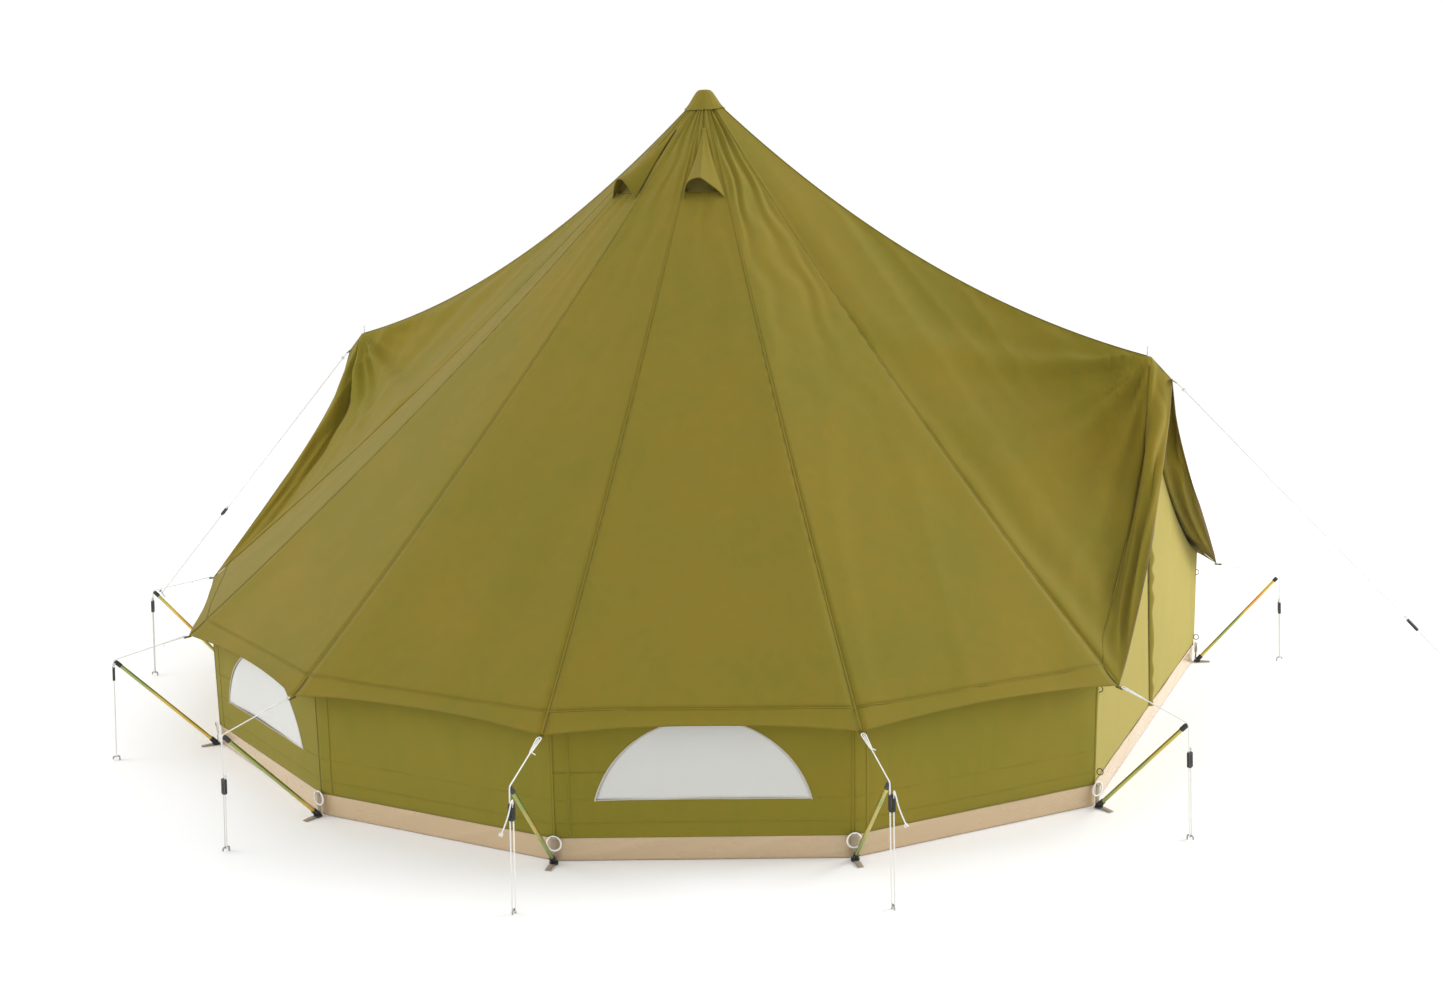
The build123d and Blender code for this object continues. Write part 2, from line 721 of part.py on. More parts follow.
def build_lines():
    save("line_pegs", *[strut_peg(k) for k in CORNERS], *both_doors(ridge_peg()))
    save("eave_tabs", *[eave_tab(k) for k in CORNERS], *both_doors(ridge_tab()))
    loops = [door_loop(sign * (DOOR_HALF - 22), z) for sign in (-1, 1) for z in (170.0, 560.0)]
    save("door_loops", *[s for loop in loops for s in both_doors(loop)])
    for k in CORNERS:
        name = corner_name(k)
        down = strut_line_frame(k)[2]
        save(f"strut_line_{name}", rope(name, strut_line_route(k)))
        save(f"runner_{name}", runner(runner_middle(k), down, side_dir(k)))
    start, _, down = ridge_line_frame()
    line = rope("ridge", ridge_line_route())
    slide = runner(start + down * RIDGE_RUNNER, down, Vector(1, 0, 0))
    for name, turn in (("front", 0), ("rear", 180)):
        save(f"ridge_line_{name}", line.rotate(Axis.Z, turn))
        save(f"runner_ridge_{name}", slide.rotate(Axis.Z, turn))


def main():
    os.makedirs(OUT, exist_ok=True)
    build_canvas()
    build_frame()
    build_lines()


if __name__ == "__main__":
    main()
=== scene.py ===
# Bell tent: canvas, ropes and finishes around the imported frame.
import math
import bpy
import numpy as np
from mathutils import Matrix, Vector


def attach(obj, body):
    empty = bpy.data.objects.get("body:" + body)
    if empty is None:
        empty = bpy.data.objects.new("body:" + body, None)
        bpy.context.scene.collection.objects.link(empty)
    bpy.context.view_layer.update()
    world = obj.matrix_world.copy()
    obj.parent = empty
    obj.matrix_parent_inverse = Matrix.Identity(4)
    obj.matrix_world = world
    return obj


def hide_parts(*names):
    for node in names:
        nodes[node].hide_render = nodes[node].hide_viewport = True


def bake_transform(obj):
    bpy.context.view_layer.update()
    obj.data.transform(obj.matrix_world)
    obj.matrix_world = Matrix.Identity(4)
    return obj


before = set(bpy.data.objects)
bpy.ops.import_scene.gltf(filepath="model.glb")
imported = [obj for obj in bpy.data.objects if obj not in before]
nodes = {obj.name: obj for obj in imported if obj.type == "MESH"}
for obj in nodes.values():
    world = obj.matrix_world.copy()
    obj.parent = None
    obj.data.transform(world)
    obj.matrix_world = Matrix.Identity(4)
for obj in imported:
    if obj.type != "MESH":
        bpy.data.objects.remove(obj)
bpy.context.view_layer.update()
print("frame loaded:", len(nodes), "nodes")

# Driving sizes in metres; the same tent as the frame's.
tent = {
    "steps": 14, "wallR": 3.006, "wallLow": 0.108, "wallTop": 0.712, "sheetR": 3.0, "sheetTop": 0.115,
    "apexZ": 3.536, "roofTopR": 0.095, "stitchR": 3.03, "eaveR": 3.125, "eaveZ": 0.637,
    "seamSag": 0.095, "ridgeSag": 0.215, "peakY": 2.642, "peakZ": 2.045, "tipY": 2.757, "tipZ": 1.926,
    "foldHalf": 0.62, "doorTop": 1.6, "scallop": 0.038,
}
stepAngle = 2 * math.pi / tent["steps"]
corners = [k for k in range(tent["steps"]) if k % 7]
flankSides = [(first + i, i) for first in (1, 8) for i in range(5)]
windowSides = [k for k, i in flankSides if i in (1, 3)]
doorY = tent["wallR"] * math.cos(stepAngle)
doorHalf = tent["wallR"] * math.sin(stepAngle)


def waves(x, y, seed, count=9, stretch=(1.0, 1.0), low=0.6, high=2.6):
    # A sum of sine waves in random directions, divided by the root of their number.
    dice = np.random.default_rng(seed)
    turn = dice.uniform(0, 2 * np.pi, count)
    size = dice.uniform(low, high, count) * 2 * np.pi
    start = dice.uniform(0, 2 * np.pi, count)
    a = np.asarray(x)[..., None] * stretch[0] * np.cos(turn) * size
    b = np.asarray(y)[..., None] * stretch[1] * np.sin(turn) * size
    return np.sin(a + b + start).sum(-1) / math.sqrt(count)


def gridFaces(rows, cols, closeCols=False):
    # Quads over a grid of points; the last column may join the first.
    i = np.arange(rows - 1)
    j = np.arange(cols if closeCols else cols - 1)
    i, j = np.meshgrid(i, j, indexing="ij")
    a, b = i * cols + j, i * cols + (j + 1) % cols
    c, d = (i + 1) * cols + (j + 1) % cols, (i + 1) * cols + j
    return np.stack([a, b, c, d], -1).reshape(-1, 4)


def meshOf(name, points, faces, uv=None, marks=None, smooth=True):
    # One mesh from arrays; uv and marks hold one value for each point.
    points = np.asarray(points, np.float32).reshape(-1, 3)
    faces = np.asarray(faces, np.int32)
    mesh = bpy.data.meshes.new(name)
    mesh.vertices.add(len(points))
    mesh.vertices.foreach_set("co", points.ravel())
    mesh.loops.add(faces.size)
    mesh.loops.foreach_set("vertex_index", faces.ravel())
    mesh.polygons.add(len(faces))
    mesh.polygons.foreach_set("loop_start", np.arange(len(faces), dtype=np.int32) * faces.shape[1])
    mesh.update(calc_edges=True)
    mesh.polygons.foreach_set("use_smooth", np.full(len(faces), smooth))
    if uv is not None:
        layer = mesh.uv_layers.new(name="cloth")
        layer.data.foreach_set("uv", np.asarray(uv, np.float32).reshape(-1, 2)[faces.ravel()].ravel())
    for key, value in (marks or {}).items():
        spot = mesh.attributes.new(key, "FLOAT", "POINT")
        spot.data.foreach_set("value", np.asarray(value, np.float32).ravel())
    mesh.validate()
    thing = bpy.data.objects.new(name, mesh)
    bpy.context.scene.collection.objects.link(thing)
    return thing


def joined(parts):
    # Several (points, faces, uv) as one; faces are renumbered.
    points, faces, uvs, start = [], [], [], 0
    for p, f, u in parts:
        p = np.asarray(p, float).reshape(-1, 3)
        points.append(p)
        faces.append(np.asarray(f) + start)
        uvs.append(np.asarray(u, float).reshape(-1, 2))
        start += len(p)
    return np.concatenate(points), np.concatenate(faces), np.concatenate(uvs)


def unit(v):
    v = np.asarray(v, float)
    return v / np.maximum(np.linalg.norm(v, axis=-1, keepdims=True), 1e-12)


def gridNormals(p):
    # Cross product of the two steps along the grid, at each of its points.
    return unit(np.cross(np.gradient(p, axis=1), np.gradient(p, axis=0)))


def arcLength(p, axis):
    step = np.linalg.norm(np.diff(p, axis=axis), axis=-1)
    first = np.zeros_like(np.take(step, [0], axis=axis))
    return np.concatenate([first, np.cumsum(step, axis=axis)], axis=axis)


def tube(path, radius, sides=10, relief=None, caps=True):
    # A circle carried along a path without twist; relief adds to the radius at (along, around).
    path = np.asarray(path, float)
    along = unit(np.gradient(path, axis=0))
    side = np.zeros_like(path)
    side[0] = unit(np.cross(along[0], [0.13, 0.27, 0.95]))
    for i in range(1, len(path)):
        kept = side[i - 1] - along[i] * (side[i - 1] @ along[i])
        side[i] = kept / np.linalg.norm(kept)
    up = np.cross(along, side)
    turn = np.linspace(0, 2 * np.pi, sides, endpoint=False)
    run = arcLength(path[:, None], 0)[:, 0]
    r = radius + (relief(run[:, None], turn[None]) if relief else np.zeros((len(path), sides)))
    c, s = np.cos(turn)[None, :, None], np.sin(turn)[None, :, None]
    p = path[:, None] + r[..., None] * (c * side[:, None] + s * up[:, None])
    faces = gridFaces(len(path), sides, closeCols=True)[:, ::-1]
    uv = np.stack(np.broadcast_arrays(turn[None] / (2 * np.pi), run[:, None]), -1).reshape(-1, 2)
    p = p.reshape(-1, 3)
    if caps:
        ends = []
        for ring, base, flip in ((0, path[0], 1), (len(path) - 1, path[-1], 0)):
            p = np.concatenate([p, base[None]])
            uv = np.concatenate([uv, [[0.5, run[ring]]]])
            tip, first = len(p) - 1, ring * sides
            k = np.arange(sides)
            a, b = first + k, first + (k + 1) % sides
            tri = np.stack([a, b, np.full(sides, tip), np.full(sides, tip)], -1)
            ends.append(tri[:, ::-1] if not flip else tri)
        faces = np.concatenate([faces] + ends)
    return p, faces, uv


def marked(name, parts, seam):
    # Tapes or tubes joined into one mesh with an even seam mark.
    points, faces, uvs = joined(parts)
    return meshOf(name, points, faces, uvs, {"seam": np.full(len(points), seam)})


def tape(path, up, width, thick, lift=0.0):
    # A flat band with rounded edges carried along a path; up is its outward side at each point.
    path, up = np.asarray(path, float), unit(np.broadcast_to(up, np.shape(path)))
    along = unit(np.gradient(path, axis=0))
    side = unit(np.cross(along, up))
    up = np.cross(side, along)
    half, t = width / 2, thick / 2
    ring = np.array([(-half, 0), (-half + t, -t), (half - t, -t), (half, 0), (half - t, t), (-half + t, t)])
    base = path + up * (lift + t)
    p = base[:, None] + ring[None, :, :1] * side[:, None] + ring[None, :, 1:] * up[:, None]
    faces = gridFaces(len(path), 6, closeCols=True)
    last = (len(path) - 1) * 6
    first, final = [[0, 3, 2, 1], [0, 5, 4, 3]], [[0, 1, 2, 3], [0, 3, 4, 5]]
    ends = np.concatenate([np.array(first), np.array(final) + last])
    run = arcLength(path[:, None], 0)[:, 0]
    uv = np.stack(np.broadcast_arrays(ring[None, :, 0], run[:, None]), -1)
    return p.reshape(-1, 3), np.concatenate([faces[:, ::-1], ends[:, ::-1]]), uv.reshape(-1, 2)


def thicken(thing, depth, offset=-1):
    mod = thing.modifiers.new("thickness", "SOLIDIFY")
    mod.thickness, mod.offset = depth, offset
    return thing


def finishPiece(thing, body, slot, material, *stands):
    thing.data.materials.clear()
    thing.data.materials.append(material)
    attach(thing, body)
    if stands:
        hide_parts(*stands)
    return thing


class Wire:
    # A socket that takes part in sums; numbers and other wires may be mixed in.
    def __init__(self, tree, socket):
        self.tree, self.socket = tree, socket

    def maths(self, operation, *values):
        made = self.tree.nodes.new("ShaderNodeMath")
        made.operation = operation
        for spot, value in zip(made.inputs, values):
            if isinstance(value, Wire):
                self.tree.links.new(value.socket, spot)
            else:
                spot.default_value = value
        return Wire(self.tree, made.outputs[0])

    def __add__(self, other):
        return self.maths("ADD", self, other)

    def __radd__(self, other):
        return self.maths("ADD", other, self)

    def __sub__(self, other):
        return self.maths("SUBTRACT", self, other)

    def __rsub__(self, other):
        return self.maths("SUBTRACT", other, self)

    def __mul__(self, other):
        return self.maths("MULTIPLY", self, other)

    def __rmul__(self, other):
        return self.maths("MULTIPLY", other, self)

    def __truediv__(self, other):
        return self.maths("DIVIDE", self, other)

    def __pow__(self, other):
        return self.maths("POWER", self, other)

    def sine(self):
        return self.maths("SINE", self)

    def size(self):
        return self.maths("ABSOLUTE", self)

    def between(self, low, high):
        # 0 below low, 1 above high, straight in between
        made = self.tree.nodes.new("ShaderNodeMapRange")
        made.inputs["From Min"].default_value, made.inputs["From Max"].default_value = low, high
        self.tree.links.new(self.socket, made.inputs["Value"])
        return Wire(self.tree, made.outputs[0])


class Finish:
    # One material and its node tree.
    def __init__(self, name, **fixed):
        self.material = bpy.data.materials.new(name)
        self.material.use_nodes = True
        self.tree = self.material.node_tree
        self.shader = self.tree.nodes["Principled BSDF"]
        for key, value in fixed.items():
            self.shader.inputs[key.replace("_", " ")].default_value = value

    def node(self, kind, settings=None, inputs=None, out=0):
        made = self.tree.nodes.new(kind)
        for key, value in (settings or {}).items():
            setattr(made, key, value)
        for key, value in (inputs or {}).items():
            if isinstance(value, Wire):
                self.tree.links.new(value.socket, made.inputs[key])
            else:
                made.inputs[key].default_value = value
        return Wire(self.tree, made.outputs[out])

    def place(self, scale=(1, 1, 1)):
        spot = self.node("ShaderNodeTexCoord", out="Object")
        return self.node("ShaderNodeMapping", {}, {"Vector": spot, "Scale": scale})

    def noise(self, where, scale, detail=3.0, rough=0.5, out=0):
        inputs = {"Vector": where, "Scale": scale, "Detail": detail, "Roughness": rough}
        return self.node("ShaderNodeTexNoise", {}, inputs, out)

    def uv(self):
        flat = self.node("ShaderNodeUVMap", {"uv_map": "cloth"})
        split = self.tree.nodes.new("ShaderNodeSeparateXYZ")
        self.tree.links.new(flat.socket, split.inputs[0])
        return Wire(self.tree, split.outputs[0]), Wire(self.tree, split.outputs[1])

    def mark(self, name):
        return self.node("ShaderNodeAttribute", {"attribute_name": name}, out="Fac")

    def mix(self, share, a, b):
        made = self.tree.nodes.new("ShaderNodeMix")
        made.data_type = "RGBA"
        for spot, value in ((made.inputs[0], share), (made.inputs[6], a), (made.inputs[7], b)):
            if isinstance(value, Wire):
                self.tree.links.new(value.socket, spot)
            else:
                spot.default_value = value if isinstance(value, float) else (*value, 1.0)[:4]
        return Wire(self.tree, made.outputs[2])

    def feed(self, **wires):
        for key, wire in wires.items():
            self.tree.links.new(wire.socket, self.shader.inputs[key.replace("_", " ")])
        return self

    def bump(self, height, distance, strength=1.0):
        inputs = {"Height": height, "Distance": distance, "Strength": strength}
        return self.feed(Normal=self.node("ShaderNodeBump", {}, inputs))


def canvasFinish(name, tone, shade, weave=0.0016, mottle=0.5):
    made = Finish(name, Roughness=0.86, Sheen_Weight=0.07, Sheen_Roughness=0.5, Specular_IOR_Level=0.12)
    spot = made.place()
    across, along = made.uv()
    patch = made.noise(spot, 1.7, 4.0, 0.6)
    fleck = made.noise(spot, 16.0, 3.0, 0.6)
    streak = made.noise(made.place((9.0, 9.0, 1.2)), 2.0, 3.0, 0.55)
    share = (patch * 0.55 + fleck * 0.2 + streak * 0.25).between(0.5 - mottle * 0.3, 0.5 + mottle * 0.3)
    body = made.mix(share, tone, shade)
    seam = made.mark("seam")
    body = made.mix(seam * 0.07, body, tuple(c * 0.6 for c in tone))
    threads = (across * (2 * math.pi / weave)).sine() * (along * (2 * math.pi / weave)).sine()
    slub = made.noise(made.place((60.0, 60.0, 9.0)), 6.0, 2.0)
    made.feed(Base_Color=made.mix((threads * 0.5 + 0.5) * 0.1, body, tuple(c * 0.6 for c in tone)))
    made.feed(Roughness=0.8 + patch * 0.14)
    made.bump(threads * 0.35 + slub * 0.5 + fleck * 0.3, 0.0012, 0.45)
    return made.material


def webbingFinish(name, tone, pitch=0.0035):
    made = Finish(name, Roughness=0.75, Specular_IOR_Level=0.3)
    across, along = made.uv()
    ribs = (along * (2 * math.pi / pitch) + (across * 900.0).sine() * 0.8).sine()
    worn = made.noise(made.place(), 40.0, 3.0)
    made.feed(Base_Color=made.mix(worn * 0.5 + ribs * 0.15, tone, tuple(c * 0.6 for c in tone)))
    made.feed(Roughness=0.68 + worn * 0.2)
    made.bump(ribs, 0.0006, 0.7)
    return made.material


def sheetFinish():
    # Coated groundsheet: even beige under a clear gloss, with shallow creases.
    made = Finish("groundsheetCoat", Coat_Weight=0.6, Coat_Roughness=0.08, Specular_IOR_Level=0.55)
    crease = made.noise(made.place((1.0, 1.0, 2.2)), 4.5, 2.5, 0.5)
    cloud = made.noise(made.place(), 1.6, 2.0)
    made.feed(Base_Color=made.mix(cloud, (0.495, 0.36, 0.208), (0.52, 0.382, 0.224)))
    made.feed(Roughness=0.24 + crease * 0.08)
    made.bump((crease - 0.5).size() * -1.0, 0.006, 0.35)
    return made.material


def netFinish(name, tone, gap):
    made = Finish(name, Roughness=0.7, Specular_IOR_Level=0.3)
    across, along = made.uv()
    lines = (across * (2 * math.pi / gap)).sine().size() * (along * (2 * math.pi / gap)).sine().size()
    cloud = made.noise(made.place(), 3.0, 3.0)
    made.feed(Base_Color=made.mix(lines * 0.35 + cloud * 0.25, tone, tuple(c * 0.72 for c in tone)))
    made.feed(Roughness=0.6 + cloud * 0.2)
    made.bump(lines, 0.0006, 0.5)
    return made.material


def zincFinish():
    # Yellow passivation: gold that drifts to green and pink along a tube.
    made = Finish("yellowZinc", Metallic=1.0, Anisotropic=0.3)
    drift = made.noise(made.place(), 3.2, 2.0, 0.45)
    fine = made.noise(made.place(), 60.0, 3.0)
    gold = made.mix((drift + fine * 0.08).between(0.42, 0.6), (0.80, 0.55, 0.12), (0.36, 0.42, 0.14))
    made.feed(Base_Color=made.mix((drift + fine * 0.05).between(0.3, 0.44), (0.72, 0.30, 0.12), gold))
    made.feed(Roughness=0.24 + fine * 0.16)
    made.bump(fine, 0.0003, 0.4)
    return made.material


def steelFinish(name, tone, rough):
    made = Finish(name, Metallic=1.0)
    spangle = made.noise(made.place(), 45.0, 4.0, 0.6)
    wear = made.noise(made.place((1.0, 1.0, 0.15)), 30.0, 2.0)
    made.feed(Base_Color=made.mix(spangle.between(0.35, 0.65), tone, tuple(c * 0.78 for c in tone)))
    made.feed(Roughness=rough + wear * 0.18)
    made.bump(spangle, 0.0003, 0.3)
    return made.material


def mouldedFinish(name, tone, rough, grain=180.0):
    made = Finish(name, Specular_IOR_Level=0.45)
    speck = made.noise(made.place(), grain, 2.0)
    dust = made.noise(made.place(), 12.0, 3.0)
    pale = tuple(min(1.0, c * 1.5 + 0.01) for c in tone)
    made.feed(Base_Color=made.mix(dust.between(0.4, 0.8), tone, pale))
    made.feed(Roughness=rough + dust * 0.15)
    made.bump(speck, 0.0004, 0.35)
    return made.material


def ropeFinish():
    # Two sets of strands crossing round the rope, worked out on its own unrolled surface.
    made = Finish("whiteBraid", Roughness=0.8, Specular_IOR_Level=0.3)
    around, along = made.uv()
    left = (along * 420.0 + around * (2 * math.pi * 4)).sine()
    right = (along * 420.0 - around * (2 * math.pi * 4)).sine()
    weave = left.size() * right.size()
    grime = made.noise(made.place(), 25.0, 3.0)
    made.feed(Base_Color=made.mix(weave * 0.25 + grime * 0.2, (0.86, 0.86, 0.83), (0.58, 0.57, 0.52)))
    made.feed(Roughness=0.7 + grime * 0.2)
    made.bump(weave, 0.0008, 0.8)
    return made.material


finishes = {
    "canvas": canvasFinish("oliveCanvas", (0.226, 0.165, 0.0155), (0.182, 0.156, 0.0165)),
    # door canvas: its paler tone is painted light, standing in for the glow of the lit door cloth
    "door": canvasFinish("doorCanvasPaintedLight", (0.35, 0.285, 0.068), (0.312, 0.267, 0.060)),
    "wall": canvasFinish("wallCanvas", (0.245, 0.192, 0.0205), (0.205, 0.183, 0.0205)),
    "cover": canvasFinish("zipCoverCanvas", (0.27, 0.215, 0.035), (0.23, 0.195, 0.032)),
    "tie": webbingFinish("darkTie", (0.10, 0.09, 0.05), 0.004),
    "zipTape": webbingFinish("zipTape", (0.24, 0.20, 0.06), 0.003),
    "binding": webbingFinish("brownBinding", (0.25, 0.18, 0.09)),
    "windowTape": webbingFinish("paleWindowTape", (0.60, 0.55, 0.44)),
    "strap": webbingFinish("greyBeigeStrap", (0.40, 0.33, 0.25)),
    "webbing": webbingFinish("oliveWebbing", (0.20, 0.165, 0.035)),
    "sheet": sheetFinish(),
    "net": netFinish("windowNet", (0.67, 0.67, 0.64), 0.004),
    # vent net: olive like the canvas, darkened to dark olive as painted shade under the hoods
    "ventNetPaintedShade": netFinish("ventNetPaintedShade", (0.13, 0.10, 0.014), 0.004),
    "zinc": zincFinish(),
    "tubeSteel": steelFinish("galvanisedTube", (0.62, 0.63, 0.64), 0.3),
    "pegSteel": steelFinish("pegSteel", (0.42, 0.42, 0.42), 0.35),
    "plastic": mouldedFinish("blackPlastic", (0.018, 0.018, 0.02), 0.42),
    "rubber": mouldedFinish("blackRubber", (0.02, 0.02, 0.02), 0.7),
    "ring": mouldedFinish("whiteRing", (0.72, 0.73, 0.70), 0.35),
    "zip": steelFinish("zipMetal", (0.22, 0.20, 0.12), 0.4),
    "rope": ropeFinish(),
}
print("finishes made:", len(finishes))

cameraFacts = {
    "place": (-8.549, -4.343, 2.933), "azimuth": -63.465, "down": 10.93, "roll": -0.01687,
    "lens": 39.38,
}


def makeCamera():
    a, d = math.radians(cameraFacts["azimuth"]), math.radians(cameraFacts["down"])
    ahead = Vector((-math.sin(a) * math.cos(d), math.cos(a) * math.cos(d), -math.sin(d)))
    right = Vector((math.cos(a), math.sin(a), 0))
    up = right.cross(ahead)
    c, s = math.cos(cameraFacts["roll"]), math.sin(cameraFacts["roll"])
    right, up = right * c + up * s, up * c - right * s
    data = bpy.data.cameras.new("viewCamera")
    data.lens, data.sensor_width = cameraFacts["lens"], 36.0
    thing = bpy.data.objects.new("viewCamera", data)
    turned = Matrix((right, up, -ahead)).transposed().to_4x4()
    thing.matrix_world = Matrix.Translation(cameraFacts["place"]) @ turned
    bpy.context.scene.collection.objects.link(thing)
    bpy.context.scene.camera = thing


makeCamera()


def polar(r, k, z, side=0.0):
    # A point at radius r in corner k's plane, and side metres round from it; arrays are welcome.
    a = np.radians(-90.0) + np.asarray(k, float) * stepAngle
    x = r * np.cos(a) - side * np.sin(a)
    y = r * np.sin(a) + side * np.cos(a)
    return np.stack(np.broadcast_arrays(x, y, z), -1)


def seamZ(r):
    # A straight fall from apex to eave, less a parabola of sag.
    u = r / tent["eaveR"]
    return tent["apexZ"] - (tent["apexZ"] - tent["eaveZ"]) * u - 4 * tent["seamSag"] * u * (1 - u)


def ridgeZ(r):
    u = r / tent["peakY"]
    return tent["apexZ"] - (tent["apexZ"] - tent["peakZ"]) * u - 4 * tent["ridgeSag"] * u * (1 - u)


def doorPlaneY(z):
    return doorY - (doorY - tent["peakY"]) * (z - tent["wallLow"]) / (tent["peakZ"] - tent["wallLow"])


def foldX(z):
    return tent["foldHalf"] * (1 - z / tent["peakZ"]) + 0.015


def gableX(z):
    # Half width of the door wall at height z: a parabola, but never inside the fold line.
    drop = (tent["peakZ"] - z) / (tent["peakZ"] - tent["wallTop"])
    return np.maximum(doorHalf * drop ** 2, foldX(z) + 0.014)


def gablePoint(s):
    high = tent["peakZ"] - 0.012
    z = high - (high - tent["wallTop"]) * s
    return np.stack([gableX(z), -doorPlaneY(z) - 0.001, z], -1)


def porchEdge(s):
    # From the porch tip to the eave corner, hollowed in height and bowed a little outwards.
    ex, ey = tent["eaveR"] * math.sin(stepAngle), tent["eaveR"] * math.cos(stepAngle)
    x = ex * s
    y = tent["tipY"] + (ey - tent["tipY"]) * s + 0.06 * s * (1 - s)
    z = tent["tipZ"] - (tent["tipZ"] - tent["eaveZ"]) * (0.65 * s ** 0.6 + 0.35 * s)
    return np.stack([x, -y, z], -1)


line = {
    "diameter": 0.006, "gap": 0.015, "tabR": 3.156, "tabZ": 0.632, "tipR": 3.502, "tipZ": 0.537,
    "pegR": 3.546, "barZ": 0.022, "ridgePegY": 4.7, "runnerLength": 0.075, "ridgeRunner": 1.71,
}
runnerDrop = {
    1: 0.21, 2: 0.15, 3: 0.12, 4: 0.175, 5: 0.095, 6: 0.14,
    8: 0.1, 9: 0.072, 10: 0.24, 11: 0.108, 12: 0.09, 13: 0.17,
}
looseTail = {11: -1, 12: 1}
# how far each point of a loose tail lies along the line, outwards and sideways
tailPoints = ((-0.006, 0.016, 0.0), (0.022, 0.027, 0.004), (0.075, 0.03, 0.016), (0.14, 0.031, 0.044))
knot = {"below": 0.105, "loop": 0.0028, "tie": 0.0029, "end": 0.0026}


def cornerName(k):
    return f"right_{k}" if k < 7 else f"left_{tent['steps'] - k}"


def strutLineRoute(k):
    # Eave tab, over the strut's cap, round the peg's bar, up to the runner, and the tail where one hangs.
    over = polar(line["tipR"] + 0.015, k, line["tipZ"] + 0.0145)
    foot = polar(line["pegR"], k, line["barZ"])
    start = polar(line["tabR"], k, line["tabZ"])
    down = unit(foot - over)
    out = polar(1.0, k, 0.0)
    sideways = np.array([-out[1], out[0], 0.0])
    across = sideways * line["gap"]
    low = foot + down * (line["gap"] / 2)
    end = over + down * (runnerDrop[k] - line["runnerLength"] / 2 - 0.014) + across
    back = unit(start - over)
    route = [start, over + back * 0.03, over, over + down * 0.03, low - down * 0.02, low, low + across]
    route += [low + across - down * 0.02, end]
    if k in looseTail:
        drift = sideways * looseTail[k]
        route += [end + down * fall + out * swing + drift * sway for fall, swing, sway in tailPoints]
    return route


def ridgeLineRoute(front):
    # From the porch tip straight to its peg, round it, and back up to the runner.
    start = np.array([0.0, -tent["tipY"] - 0.026, tent["tipZ"] - 0.016])
    foot = np.array([0.0, -line["ridgePegY"], line["barZ"] + 0.006])
    down = unit(foot - start)
    across = np.array([line["gap"], 0.0, 0.0])
    low = foot + down * (line["gap"] / 2)
    end = start + down * (line["ridgeRunner"] - line["runnerLength"] / 2 - 0.014) + across
    route = [start, low - down * 0.03, low, low + across, low + across - down * 0.03, end]
    turn = np.array([1.0, 1.0, 1.0]) if front else np.array([-1.0, -1.0, 1.0])
    return [p * turn for p in route]


def ropeRoute(name, route):
    # The smooth centreline: a third-order NURBS spline through its ends, read back as points.
    data = bpy.data.curves.new(name, "CURVE")
    data.dimensions = "3D"
    spline = data.splines.new("NURBS")
    spline.points.add(len(route) - 1)
    for spot, p in zip(spline.points, route):
        spot.co = (*p, 1.0)
    spline.order_u, spline.use_endpoint_u = 3, True
    spline.resolution_u = 24
    holder = bpy.data.objects.new(name, data)
    bpy.context.scene.collection.objects.link(holder)
    mesh = bpy.data.meshes.new_from_object(holder)
    points = np.zeros(len(mesh.vertices) * 3)
    mesh.vertices.foreach_get("co", points)
    points = points.reshape(-1, 3)
    bpy.data.objects.remove(holder)
    bpy.data.meshes.remove(mesh)
    return points


def evenly(points, gap):
    # The same line in steps of nearly equal length.
    run = arcLength(points[:, None], 0)[:, 0]
    at = np.linspace(0, run[-1], max(8, int(run[-1] / gap)))
    return np.stack([np.interp(at, run, points[:, i]) for i in range(3)], -1)


def braidRelief(run, turn):
    # Strands crossing both ways round the rope stand a little proud.
    return 0.00022 * np.abs(np.sin(run * 420 + turn * 4) * np.sin(run * 420 - turn * 4)) - 0.0001


def knotPath(centre, along, out, size, turns=2):
    # A small overhand knot: a torus-knot curve, two turns one way to three the other.
    t = np.linspace(0, 2 * np.pi, 72)
    side = np.cross(along, out)
    r = size * (1.0 + 0.42 * np.cos(1.5 * turns * t))
    a = r[:, None] * np.cos(turns / 2 * t)[:, None] * side
    b = r[:, None] * np.sin(turns / 2 * t)[:, None] * out
    c = (size * 0.75 * np.sin(1.5 * turns * t))[:, None] * along
    return np.asarray(centre) + a + b + c


def strutKnots(k, route, centre):
    # The loop through the eave tab with its knot and short end, and the stopper at the free end.
    out, down = polar(1.0, k, 0.0), unit(route[2] - route[0])
    side = np.array([-out[1], out[0], 0.0])
    knotAt = route[0] + down * knot["below"]
    t = np.linspace(0, np.pi, 9)
    bow = route[0] + np.outer(np.cos(t), side) * 0.010 - np.outer(np.sin(t), down) * 0.012
    leg, back = knotAt + side * 0.004, knotAt - side * 0.004
    loop = np.concatenate([np.linspace(leg, bow[0], 12)[:-1], bow, np.linspace(bow[-1], back, 12)[1:]])
    short = np.linspace(knotAt, knotAt + side * 0.022 - np.array([0, 0, 0.012]), 6)
    if k in looseTail:
        endAt, endWay = centre[-1], unit(centre[-1] - centre[-4])
    else:
        endAt, endWay = route[8], unit(route[8] - route[7])
    return [
        tube(loop, knot["loop"], 8, braidRelief), tube(knotPath(knotAt, down, out, 0.0066), knot["tie"], 8),
        tube(short, knot["end"], 8), tube(knotPath(endAt, endWay, out, 0.0056), knot["loop"], 8),
    ]


def ridgeKnots(route):
    down, side = unit(route[1] - route[0]), np.array([1.0, 0, 0])
    return [
        tube(knotPath(route[0] + down * 0.05, down, side, 0.007), knot["tie"], 8),
        tube(knotPath(route[-1], down, side, 0.0056), knot["loop"], 8),
    ]


